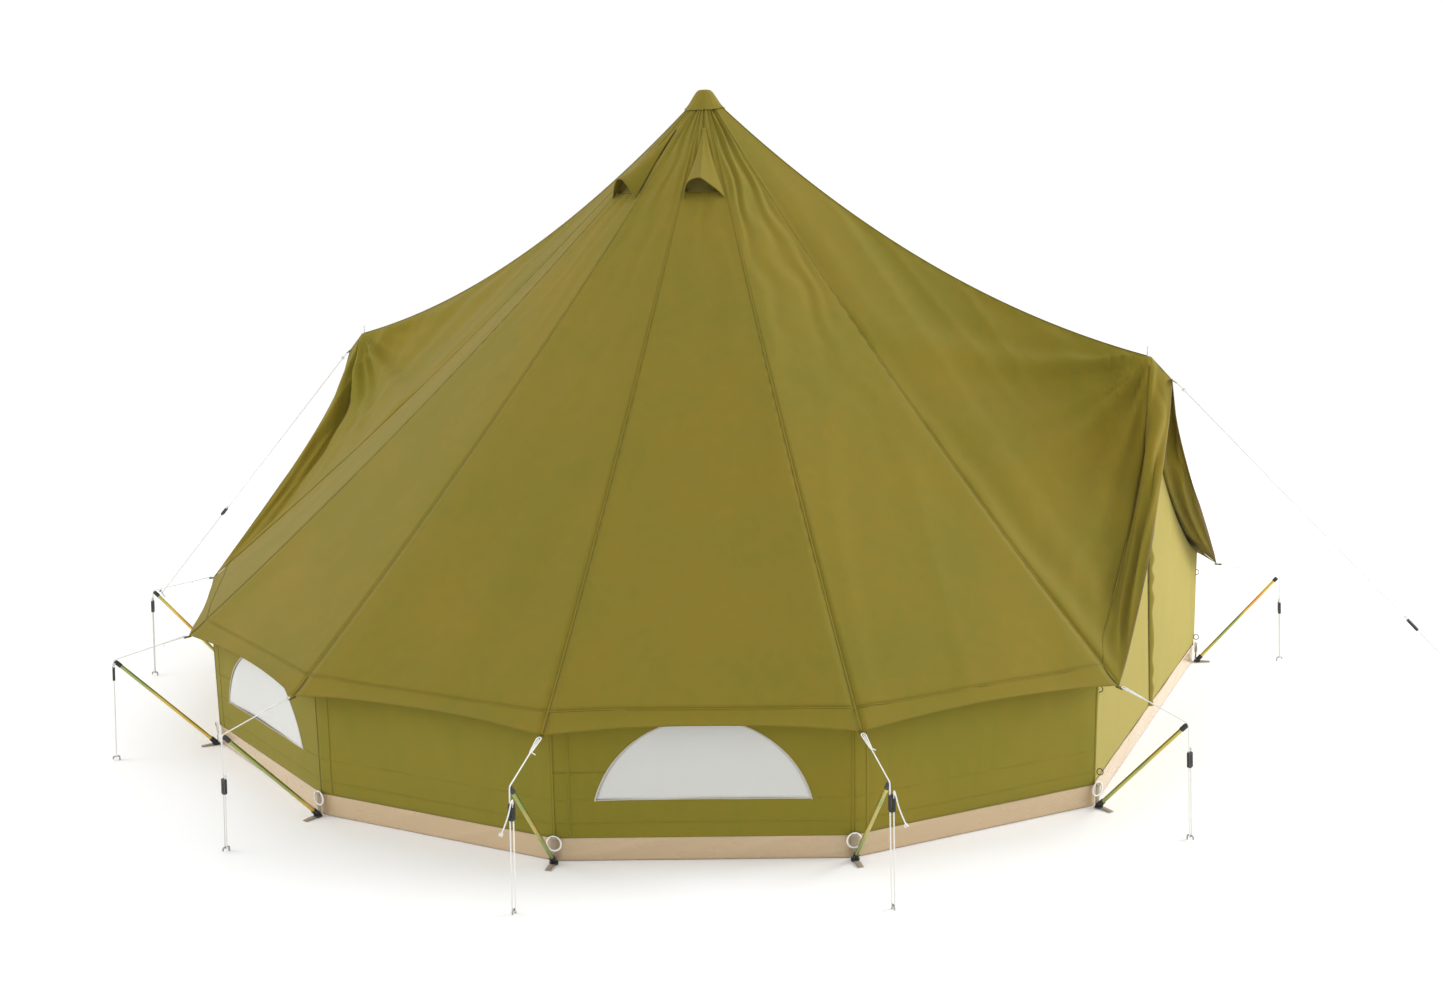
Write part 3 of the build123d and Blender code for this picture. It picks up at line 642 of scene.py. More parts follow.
def makeCord(name, knotName, stand, route, step, makeKnots):
    # One rope along its route, with its knots as a piece of their own.
    centre = evenly(ropeRoute("route" + name, route), step)
    piece = meshOf(name, *joined([tube(centre, line["diameter"] / 2, 8, braidRelief)]))
    finishPiece(piece, "tent", "rope", finishes["rope"], stand)
    knots = meshOf(knotName, *joined(makeKnots(centre)))
    finishPiece(knots, "tent", "rope", finishes["rope"])


def makeRopes():
    for k in corners:
        name, route = cornerName(k), strutLineRoute(k)
        makeCord(f"strutLine_{name}", f"lineKnots_{name}", f"strut_line_{name}", route, 0.004,
                 lambda centre: strutKnots(k, route, centre))
    for name, front in (("front", True), ("rear", False)):
        route = ridgeLineRoute(front)
        makeCord(f"ridgeLine_{name}", f"ridgeKnots_{name}", f"ridge_line_{name}", route, 0.005,
                 lambda centre: ridgeKnots(route))
    print("ropes made")


makeRopes()


def facing(points, faces, inside):
    # Turn a grid's faces so that they point away from a place inside the tent.
    flat = np.asarray(points).reshape(-1, 3)
    a, b, c = flat[faces[:, 0]], flat[faces[:, 1]], flat[faces[:, 2]]
    middle = flat[faces].mean(1)
    away = (np.cross(b - a, c - a) * (middle - np.asarray(inside))).sum()
    return faces if away > 0 else faces[:, ::-1]


def push(points, amount, inside=(0, 0, 1.0)):
    # Move grid points along the grid's own normals, outwards.
    n = gridNormals(points)
    n = n * np.sign((n * (points - np.asarray(inside))).sum())
    return points + n * amount[..., None]


def smooth(x):
    x = np.clip(x, 0, 1)
    return x * x * (3 - 2 * x)


def creases(x, y, seed, low=0.6, high=2.6, stretch=(1.0, 1.0)):
    # Narrow ridges where a wave field passes through nothing.
    field = waves(x, y, seed, 7, stretch, low, high)
    return np.exp(-(field * 2.4) ** 2)


def sheetPiece(name, parts, thick, inside=(0, 0, 1)):
    # parts are (points grid, uv grid, seam marks); they become one object with a real thickness.
    points, faces, uvs, marks, start = [], [], [], [], 0
    for p, uv, seam in parts:
        grid = facing(p, gridFaces(p.shape[0], p.shape[1]), inside)
        points.append(p.reshape(-1, 3))
        faces.append(grid + start)
        uvs.append(np.asarray(uv).reshape(-1, 2))
        marks.append(np.broadcast_to(seam, p.shape[:2]).reshape(-1))
        start += points[-1].shape[0]
    points, faces, uvs, marks = (np.concatenate(values) for values in (points, faces, uvs, marks))
    thing = thicken(meshOf(name, points, faces, uvs, {"seam": marks}), thick)
    return thing


roof = {
    "rows": 150, "flankColumns": 30, "doorColumns": 52, "thick": 0.0015, "pucker": 0.0034,
    "swell": 0.010, "drag": 0.0038, "gather": 0.0045, "lines": 0.006, "peakFold": 0.024, "gableFold": 0.007,
}
panelPull = {12: 1.4, 11: 0.7, 8: 0.6, 5: 1.4, 1: 1.2}
roofR = np.linspace(tent["roofTopR"], tent["stitchR"], roof["rows"])[:, None]


def canvasFolds(s, t, width, seed, pull=1.0):
    # Puckers beside the seams, slow swells in the middle and long drags down the panel.
    d = np.minimum(t, width - t)
    wide = np.clip((width - 0.10) / 0.5, 0, 1)
    beat = 2 * np.pi * s / 0.10 + 2.2 * waves(s, t, seed, 5, (1, 1), 0.4, 1.2)
    pucker = np.exp(-d / 0.05) * np.sin(beat)
    pucker = pucker * (0.35 + 0.65 * smooth(0.5 + waves(s, t * 0, seed + 4, 4, (1, 1), 0.3, 0.9)))
    swell = waves(s, t, seed + 1, 7, (1, 1), 0.12, 0.5)
    drag = waves(s, t, seed + 2, 9, (0.16, 1.6), 0.8, 2.4)
    drag = drag + 1.4 * creases(s, t, seed + 3, 0.5, 1.6, (0.14, 1.4))
    middle = smooth(d / 0.22)
    total = roof["pucker"] * pucker * wide + roof["swell"] * swell * middle * wide
    total = total + roof["drag"] * pull * drag * smooth(d / 0.07) * wide
    return total * smooth(d / 0.022)


def flankPanel(k):
    v = np.linspace(0, 1, roof["flankColumns"] + 1)[None]
    a, b = polar(roofR, k, seamZ(roofR)), polar(roofR, k + 1, seamZ(roofR))
    p = a * (1 - v[..., None]) + b * v[..., None]
    width = np.linalg.norm(b - a, axis=-1)
    s = arcLength(a, 0)
    t = v * width
    near = panelPull.get(k, 0.5)
    top = np.exp(-(roofR - 0.12) / 0.32) * np.sin(2 * np.pi * 2.5 * v + k * 2.1)
    top = top * np.clip(width / 0.12, 0, 1)
    lines = np.exp(-(roofR / 1.5) ** 2) * near
    amount = canvasFolds(s, t, width, 40 + 7 * k, near) + roof["gather"] * top * smooth(v * 8) * smooth(8 - v * 8)
    drawn = np.sin(2 * np.pi * 3 * v + 1.5 * waves(s, v, 900 + k, 5))
    amount = amount + roof["lines"] * lines * drawn * smooth(v * 6) * smooth(6 - v * 6)
    uv = np.stack(np.broadcast_arrays(t - width / 2 + 1.4 * k, s), -1)
    seam = np.exp(-np.minimum(t, width - t) / 0.02)
    return push(p, amount), uv, seam


def doorPanel(side, front):
    # One of the two panels over a door, from the corner seam to the ridge; side is +1 at the right.
    count = roof["doorColumns"]
    v = (1 - (1 - np.linspace(0, 1, count + 1)) ** 1.35)[None]
    u = roofR / tent["stitchR"]
    seam = polar(tent["stitchR"] * u, 1, seamZ(tent["stitchR"] * u))
    ridge = np.stack(np.broadcast_arrays(0.0, -tent["peakY"] * u, ridgeZ(tent["peakY"] * u)), -1)
    straight = seam * (1 - v[..., None]) + ridge * v[..., None]
    end = seam[-1:] * (1 - v[..., None]) + ridge[-1:] * v[..., None]
    hold = smooth(v / 0.12) * smooth((1 - v) / 0.05)
    pull = (gablePoint((1 - v) ** 0.8) - end) * hold[..., None]
    p = straight + pull * (u ** 4)[..., None]
    seed = 300 + 20 * (side > 0) + 50 * front
    run, across = arcLength(p, 0), arcLength(p, 1)
    width = across[:, -1:]
    peak = np.array([0.0, -tent["peakY"], tent["peakZ"]])
    back = unit(ridge[-12, 0] - peak)
    lean = np.array([1.0, 0, -0.62])
    out = unit(lean - back * (lean @ back))
    gap = p - peak
    far = np.linalg.norm(gap, axis=-1)
    turn = np.arctan2(gap @ out, gap @ back)
    spread = np.sin(8.5 * turn + 0.6 + seed) + 0.7 * np.sin(15.3 * turn + 1.1 * seed)
    spread = spread + 0.4 * np.sin(25 * turn + seed)
    fold = roof["peakFold"] * np.clip(far / 0.22, 0, 1) * np.exp(-far / 0.85) * spread
    edge = run[-1:] - run
    gable = np.sin(2 * np.pi * edge / 0.17 + 1.6 * waves(run, across, seed + 5, 5, (0.6, 0.6)))
    gable = roof["gableFold"] * gable * np.exp(-edge / 0.25) * smooth(v / 0.2) * smooth(edge / 0.03)
    tension = 1.0 if front == (side < 0) else 0.45
    amount = canvasFolds(run, across, width, seed, 1.4 * tension)
    amount = amount + tension * (fold + gable) * smooth((1 - v) / 0.03) * smooth(v / 0.06)
    p = p * np.array([side, 1, 1])
    p = push(p, amount, (0, -0.4, 1.0))
    turned = np.array([1.0, 1.0, 1.0]) if front else np.array([-1.0, -1.0, 1.0])
    uv = np.stack([across + 20 + 3 * side, run], -1)
    return p * turned, uv, np.exp(-np.minimum(across, width - across) / 0.02)


def makeRoof():
    # Returns the lower edges, so that the valance and the porch flaps carry on from the very same points.
    lower = {}
    for name, first in (("roofRight", 1), ("roofLeft", 8)):
        parts = [flankPanel(first + i) for i in range(5)]
        for i, part in enumerate(parts):
            lower[first + i] = part[0][-1]
        piece = sheetPiece(name, parts, roof["thick"])
        finishPiece(piece, "tent", "canvas", finishes["canvas"], *(("canopy",) if first == 1 else ()))
    for name, front in (("roofFront", True), ("roofRear", False)):
        parts = [doorPanel(side, front) for side in (1, -1)]
        for side, part in zip((1, -1), parts):
            lower[name, side] = part[0][-1]
        piece = sheetPiece(name, parts, roof["thick"])
        finishPiece(piece, "tent", "canvas", finishes["canvas"], *(("door_roofs",) if front else ()))
    print("roof made")
    return lower


lowerEdges = makeRoof()

valance = {"rows": 12, "flare": 0.004, "wave": 0.005}
flap = {"rows": 26, "fold": 0.020, "edge": 0.008}


def makeValance():
    parts = []
    for k in [side for side, place in flankSides]:
        top = lowerEdges[k][None]
        v = np.linspace(0, 1, top.shape[1])[None, :, None]
        a, b = polar(tent["eaveR"], k, tent["eaveZ"]), polar(tent["eaveR"], k + 1, tent["eaveZ"])
        low = a * (1 - v) + b * v
        rise = 4 * v * (1 - v) * tent["scallop"]
        low = low + (top - low) * rise / np.linalg.norm(top - low, axis=-1, keepdims=True)
        q = np.linspace(0, 1, valance["rows"])[:, None, None]
        p = top * (1 - q) + low * q
        s, t = arcLength(p, 0), arcLength(p, 1)
        ripple = waves(t, s, 500 + k, 6, (1.0, 0.4), 0.4, 1.4)
        ripple = ripple * smooth(v[..., 0] * 9) * smooth(9 - v[..., 0] * 9)
        amount = valance["wave"] * ripple * q[..., 0] - valance["flare"] * np.sin(np.pi * q[..., 0])
        p = push(p, amount * np.ones_like(s))
        hem = np.maximum(np.exp(-s / 0.006), np.exp(-(s[-1:] - s) / 0.012))
        parts.append((p, np.stack([t + 1.4 * k, s], -1), hem))
    piece = sheetPiece("valanceBand", parts, 0.0018)
    finishPiece(piece, "tent", "canvas", finishes["canvas"], "valance")


def makePorchFlaps():
    parts, bindings = [], []
    for name, turned in (("roofFront", (1, 1, 1)), ("roofRear", (-1, -1, 1))):
        for side in (1, -1):
            inner = lowerEdges[name, side][None]
            count = inner.shape[1]
            v = 1 - (1 - np.linspace(0, 1, count)) ** 1.35
            s = np.sqrt(np.clip(1 - v, 0, 1))
            outer = porchEdge(s)[None] * np.array([side, 1, 1]) * np.array(turned)
            q = np.linspace(0, 1, flap["rows"])[:, None, None]
            p = inner * (1 - q) + outer * q
            run, across = arcLength(p, 0), arcLength(p, 1)
            seed = 700 + 10 * side + (5 if name == "roofRear" else 0)
            bend = run / 0.34 - 0.55 * (1 - s[None])
            bend = bend + 0.25 * waves(across, run, seed, 5, (0.4, 0.6), 0.15, 0.5)
            fade = smooth(0.5 + waves(across, run, seed + 2, 5, (0.3, 0.5), 0.2, 0.6))
            long = np.sin(2 * np.pi * bend) * (0.45 + 0.55 * fade)
            sway = waves(across, run, seed + 1, 7, (0.35, 1.2), 0.4, 1.3)
            sway = sway + 0.9 * creases(across, run, seed + 3, 0.4, 1.2, (0.3, 1.3))
            hold = smooth(q[..., 0] * 4) * smooth((1 - q[..., 0]) * 3)
            hold = hold * smooth(s[None] * 7) * smooth((1 - s[None]) * 6)
            strength = 1.0 if name == "roofFront" else 0.5
            p = push(p, strength * (flap["fold"] * long + flap["edge"] * sway) * hold, (0, 0, 0.4))
            parts.append((p, np.stack([across + 30, run], -1), np.exp(-(run[-1:] - run) / 0.012)))
            edge = p[-1]
            n = gridNormals(p)[-1]
            n = n * np.sign((n * (edge - np.array([0, 0, 0.4]))).sum())
            bindings.append((edge, n, p[-4]))
    flaps = sheetPiece("porchFlaps", parts, 0.0018)
    finishPiece(flaps, "tent", "canvas", finishes["canvas"], "porch_flaps")
    trims = [tape(edge - n * 0.0048 + unit(mid - edge) * 0.007, n, 0.016, 0.0018) for edge, n, mid in bindings]
    trims = meshOf("porchBinding", *joined(trims))
    finishPiece(trims, "tent", "binding", finishes["binding"])


makeValance()
makePorchFlaps()
print("valance and porch flaps made")

seamFacts = {"width": 0.008, "thick": 0.0006, "lineWidth": 0.006}


def makeSeams():
    parts = []
    r = np.linspace(tent["roofTopR"] + 0.02, tent["eaveR"] - 0.004, 260)
    for k in corners:
        path = polar(r, k, np.where(r < tent["stitchR"], seamZ(r), 0))
        low = polar(tent["stitchR"], k, seamZ(tent["stitchR"]))
        end = polar(tent["eaveR"], k, tent["eaveZ"])
        share = np.clip((r - tent["stitchR"]) / (tent["eaveR"] - tent["stitchR"]), 0, 1)[:, None]
        path = np.where(share > 0, low * (1 - share) + end * share, path)
        side = polar(0.0, k, 0.0, 1.0)
        up = np.cross(unit(np.gradient(path, axis=0)), side)
        up = up * np.sign(up[:, 2:])
        parts.append(tape(path, up, seamFacts["width"], seamFacts["thick"], 0.0004))
    for turned in (1, -1):
        y = np.linspace(tent["roofTopR"] + 0.02, tent["peakY"] - 0.02, 220)
        ridge = np.stack([0 * y, -y * turned, ridgeZ(y)], -1)
        up = np.cross(unit(np.gradient(ridge, axis=0)), [1.0, 0, 0])
        parts.append(tape(ridge, up * np.sign(up[:, 2:]), seamFacts["width"], seamFacts["thick"], 0.0004))
    for key, edge in lowerEdges.items():
        path = edge[::2] if isinstance(key, int) else edge[:-3]
        up = unit(path * np.array([1, 1, 0])) * 0.75 + np.array([0, 0, 0.65])
        parts.append(tape(path, up, seamFacts["lineWidth"], seamFacts["thick"], 0.0006))
    seams = marked("roofSeams", parts, 0.0)
    finishPiece(seams, "tent", "canvas", finishes["canvas"])


makeSeams()

cap = {
    "rows": 30, "around": 112, "pleat": 0.0011, "thick": 0.0018, "hemR": 0.120, "lift": 0.0045, "soft": 0.006,
    "domeR": (0.0, 0.020, 0.036, 0.050, 0.066, 0.118), "domeZ": (3.5385, 3.5382, 3.5350, 3.5225, 3.4990, 3.4170),
}
vent = {"topR": 0.22, "lowR": 0.605, "arch": 0.125, "rows": 44, "columns": 48, "inset": 0.07}


def roofTopZ(r, turn):
    # Height of the roof near its top: the seams' curve, rising to the ridges' over the doors.
    side = np.abs(np.arcsin(np.abs(np.cos(turn))))
    share = np.clip(1 - side / (2 * math.pi / 7), 0, 1)
    return seamZ(r) * (1 - share) + ridgeZ(r) * share


def makeApexCap():
    # A dome over the pole's head that runs down at a steady slope until it lies on the roof.
    at = np.linspace(0, 1, cap["rows"])[:, None]
    turn = np.linspace(0, 2 * np.pi, cap["around"] + 1)[None]
    r = 0.0006 + (cap["hemR"] - 0.0006) * at
    dome = np.interp(r, cap["domeR"], cap["domeZ"])
    rest = roofTopZ(r, turn) + cap["lift"]
    z = 0.5 * (dome + rest + np.sqrt((dome - rest) ** 2 + cap["soft"] ** 2 * smooth((r - 0.03) / 0.03)))
    z = np.where(r < 0.03, dome, z)
    grow = smooth((r - 0.03) / 0.05)
    pleats = np.sin(14 * turn + 0.5) + 0.5 * np.sin(23 * turn) + 0.4 * np.sin(9 * turn)
    z = z + cap["pleat"] * grow * pleats
    p = np.stack(np.broadcast_arrays(r * np.cos(turn), r * np.sin(turn), z), -1)
    p[:, -1] = p[:, 0]
    s = arcLength(p, 0)
    uv = np.stack(np.broadcast_arrays(turn * 0.09, s), -1)
    parts = [(p, uv, np.exp(-(s[-1:] - s) / 0.006))]
    piece = sheetPiece("apexCap", parts, cap["thick"], (0, 0, 3.3))
    finishPiece(piece, "tent", "canvas", finishes["canvas"], "apex_cap")


def hoodShape(v, sway):
    # One arch across the panel, its top pushed to one side: steep there and a long slope on the other.
    w = v ** (1.0 - 0.42 * sway)
    return np.sin(np.pi * w) ** 0.92


def makeVents():
    hoods, nets, rims = [], [], []
    for k in windowSides:
        sway = 1 if k in (11, 4) else -0.35
        q = np.linspace(0, 1, vent["rows"])[:, None]
        v = np.linspace(0, 1, vent["columns"] + 1)[None]
        r = vent["topR"] + (vent["lowR"] - vent["topR"]) * q
        z = seamZ(r) + 0.0032
        inset = vent["inset"] + 0.34 * (1 - q) ** 1.3
        a, b = polar(r, k + inset, z), polar(r, k + 1 - inset, z)
        p = a * (1 - v[..., None]) + b * v[..., None]
        ridge = 0.10 * np.exp(-((v - 0.42) / 0.05) ** 2) * smooth(q * 1.5) * (1 - 0.7 * q)
        lift = vent["arch"] * (q ** 1.5 * hoodShape(v, sway) * 0.94 + ridge * 0.6)
        slack = 0.004 * waves(q * 0.6, v, 820 + k, 6, (1, 1), 0.8, 2.5)
        lift = lift + slack * smooth(v * 5) * smooth(5 - v * 5) * q
        away = polar(1.0, k + 0.5, 0.0)
        p = p + lift[..., None] * (np.array([0, 0, 0.93]) + away * 0.30)
        s, t = arcLength(p, 0), arcLength(p, 1)
        hoods.append((p, np.stack([t + 50, s], -1), np.exp(-(s[-1:] - s) / 0.008)))
        edge = p[-1]
        rims.append(tube(edge, 0.0032, 8))
        netR = vent["lowR"] - 0.03
        base, ends = (polar(netR, k + share, seamZ(netR) + 0.002) for share in (0.10, 0.90))
        foot = base * (1 - v[0][:, None]) + ends * v[0][:, None]
        rise = vent["arch"] * hoodShape(v[0], sway) * 0.84
        top = foot + rise[:, None] * np.array([0, 0, 0.93])
        h = np.linspace(0, 1, 12)[:, None, None]
        sheet = foot[None] * (1 - h) + top[None] * h - polar(0.012, k + 0.5, 0.0) * np.sin(np.pi * h)
        nets.append((sheet, np.stack([arcLength(sheet, 1), arcLength(sheet, 0)], -1), 0.0))
    inside = (0, 0, 2.5)
    piece = sheetPiece("ventHoods", hoods, 0.0016, inside)
    finishPiece(piece, "tent", "canvas", finishes["canvas"], "vent_hoods")
    # the nets under the hoods take the dark olive net finish: real olive mesh, darkened as painted shade
    piece = sheetPiece("ventNets", nets, 0.0008, inside)
    finishPiece(piece, "tent", "mesh", finishes["ventNetPaintedShade"], "vent_meshes")
    rims = marked("ventRims", rims, 0.4)
    finishPiece(rims, "tent", "canvas", finishes["canvas"])


makeApexCap()
makeVents()
print("cap and vents made")

wall = {
    "thick": 0.0016, "low": 0.1095, "window": 0.967, "windowRise": 0.373, "sill": 0.287, "wave": 0.0042,
    "middle": 0.36, "hem": 0.178,
}
wall["arcR"] = (wall["window"] ** 2 / 4 + wall["windowRise"] ** 2) / (2 * wall["windowRise"])
wallHalf = tent["wallR"] * math.sin(stepAngle / 2)
wallDepth = tent["wallR"] * math.cos(stepAngle / 2)


def onSide(k, x, z, lift):
    # A place on the wall side after corner k: x along it, z up, lift outwards.
    a = math.radians(-90) + (k + 0.5) * stepAngle
    out, along = np.array([math.cos(a), math.sin(a), 0]), np.array([-math.sin(a), math.cos(a), 0])
    x, z, lift = np.broadcast_arrays(x, z, lift)
    return out * (wallDepth + lift)[..., None] + along * x[..., None] + np.array([0, 0, 1.0]) * z[..., None]


def wallWave(k, x, z):
    # Slack canvas: soft upright folds, a level tuck at the sill, all still at the corners and the hem.
    calm = smooth((wallHalf - np.abs(x)) / 0.06) * smooth((z - wall["low"]) / 0.05)
    soft = waves(x, z, 600 + k, 8, (1.0, 0.45), 0.3, 1.4)
    fine = creases(x, z, 640 + k, 0.6, 1.8, (1.0, 0.6))
    tuck = np.exp(-((z - wall["sill"] - 0.003 - 0.004 * np.sin(9 * x + k)) / 0.006) ** 2)
    tuck = tuck + np.exp(-((z - wall["hem"]) / 0.006) ** 2)
    return (wall["wave"] * (soft + 0.8 * fine) - 0.0016 * tuck) * calm - 0.0048


def wallTape(k, x, z, lift, width, thick):
    # A flat tape along places on a side, lying on its waves.
    normal = onSide(k, 0.0, 0.0, 1.0) - onSide(k, 0.0, 0.0, 0.0)
    return tape(onSide(k, x, z, wallWave(k, x, z) + lift), normal, width, thick)


def windowEdge(turn):
    # Distance from the window's middle to its outline, a circle's top cut level, for each direction.
    h, r = wall["middle"] * wall["windowRise"], wall["arcR"]
    c, s = np.cos(turn), np.sin(turn)
    low = np.where(s < -1e-6, h / np.maximum(-s, 1e-6), 9.0)
    e = h - wall["windowRise"] + r
    arch = -s * e + np.sqrt(r ** 2 - (e * c) ** 2)
    return np.minimum(low, arch)


def makeWalls():
    parts, nets, trims, stitches = [], [], [], []
    for k, i in flankSides:
        low, high = wall["low"], tent["wallTop"]
        if i in (1, 3):
            midZ = wall["sill"] + wall["middle"] * wall["windowRise"]
            square = [math.atan2(zz - midZ, xx) for xx in (wallHalf, -wallHalf) for zz in (low, high)]
            halfWindow = wall["window"] / 2
            feet = [math.atan2(-wall["middle"] * wall["windowRise"], x) for x in (halfWindow, -halfWindow)]
            turn = np.unique(np.round(np.concatenate([np.linspace(-np.pi, np.pi, 240), square, feet]), 9))
            c, s = np.cos(turn)[None], np.sin(turn)[None]
            side = wallHalf / np.maximum(np.abs(c), 1e-6)
            edge = np.where(s > 0, (high - midZ), (midZ - low)) / np.maximum(np.abs(s), 1e-6)
            outer, inner = np.minimum(side, edge), windowEdge(turn)[None]
            q = np.linspace(0, 1, 22)[:, None]
            rho = inner * (1 - q) + outer * q
            x, z = rho * c, midZ + rho * s
            p = onSide(k, x, z, wallWave(k, x, z))
            seam = np.maximum(np.exp(-(rho - inner) / 0.012), 0)
            parts.append((p, np.stack([x + 1.4 * k, z], -1), seam))
            x = np.linspace(-1, 1, 41)[None]
            up = np.sin(np.linspace(0, np.pi / 2 * 0.985, 26))[:, None] * wall["windowRise"] * 1.004
            fall = up / 1.004 - wall["windowRise"] + wall["arcR"]
            half = np.sqrt(np.clip(wall["arcR"] ** 2 - fall ** 2, 0, 9)) + 0.002
            nx, nz = x * half, wall["sill"] - 0.003 + up + 0 * x
            slack = 0.003 * waves(nx, nz, 660 + k, 6, (1, 1), 0.4, 1.4)
            net = onSide(k, nx, nz, wallWave(k, nx, nz) - 0.0012 + slack)
            nets.append((net, np.stack([nx, nz], -1), 0.0))
            foot = math.asin((wall["arcR"] - wall["windowRise"]) / wall["arcR"])
            arch = np.linspace(foot - 0.01, np.pi - foot + 0.01, 90)
            ax = wall["arcR"] * np.cos(arch)
            az = wall["sill"] + wall["windowRise"] - wall["arcR"] + wall["arcR"] * np.sin(arch)
            trims.append(wallTape(k, ax, az, 0.0005, 0.008, 0.0016))
            sx = np.linspace(-halfWindow - 0.004, halfWindow + 0.004, 40)
            trims.append(wallTape(k, sx, wall["sill"], 0.0005, 0.005, 0.0014))
        else:
            x = np.linspace(-wallHalf, wallHalf, 70)[None]
            z = np.linspace(low, high, 36)[:, None]
            p = onSide(k, x, z, wallWave(k, x, z))
            parts.append((p, np.stack(np.broadcast_arrays(x + 1.4 * k, z), -1), 0.0))
        for level in (wall["sill"] + 0.002, wall["hem"]):
            sx = np.linspace(-wallHalf + 0.002, wallHalf - 0.002, 70)
            if i in (1, 3) and level > wall["sill"]:
                sx = sx[np.abs(sx) > halfWindow + 0.01]
            for run in np.split(sx, np.nonzero(np.diff(sx) > 0.2)[0] + 1):
                stitches.append(wallTape(k, run, level, 0.0003, 0.006, 0.0012))
        for sx in (-wallHalf + 0.07, wallHalf - 0.004):
            z = np.linspace(low + 0.002, high - 0.01, 50)
            stitches.append(wallTape(k, sx + 0 * z, z, 0.0003, 0.010, 0.0014))
    piece = sheetPiece("flankWalls", parts, wall["thick"])
    finishPiece(piece, "tent", "canvas", finishes["wall"], "flank_walls")
    piece = sheetPiece("windowNets", nets, 0.0007)
    finishPiece(piece, "tent", "mesh", finishes["net"], "window_meshes")
    trims = meshOf("windowBinding", *joined(trims))
    finishPiece(trims, "tent", "binding", finishes["windowTape"], "window_trims")
    seams = marked("wallSeams", stitches, 0.5)
    finishPiece(seams, "tent", "canvas", finishes["wall"])


makeWalls()
print("walls and windows made")

door = {
    "low": 0.1205, "rows": 90, "columns": 60, "thick": 0.0015, "wave": 0.0045, "blend": 0.024, "blendZ": 0.85,
    "coverWidth": 0.042, "coverWave": 0.010, "tieHeights": (0.17, 0.585),
}


def onDoor(x, z, lift, turned):
    # A place on the door wall: x sideways, z up, lift outwards from its face.
    x, z, lift = np.broadcast_arrays(x, z, lift)
    return np.stack([x * turned, (-doorPlaneY(z) - lift) * turned, z], -1)


def doorWave(x, z, seed):
    # Slack between zip and corner: waves and creases stretched upright, still along the zip and the gable,
    # plus the gap between the leaning wall and the upright corner seam.
    calm = smooth((x - 0.004) / 0.05) * smooth((gableX(z) + 0.02 - x) / 0.10) * smooth((z - 0.12) / 0.05)
    soft = waves(x, z, seed, 7, (1.0, 0.35), 0.3, 1.2) + 0.8 * creases(x, z, seed + 1, 0.5, 1.4, (1.0, 0.4))
    corner = (doorY - doorPlaneY(z)) * smooth((x - doorHalf + 0.16) / 0.15)
    corner = corner * smooth((tent["wallTop"] + 0.1 - z) / 0.1)
    return door["wave"] * soft * calm - 0.0062 + corner


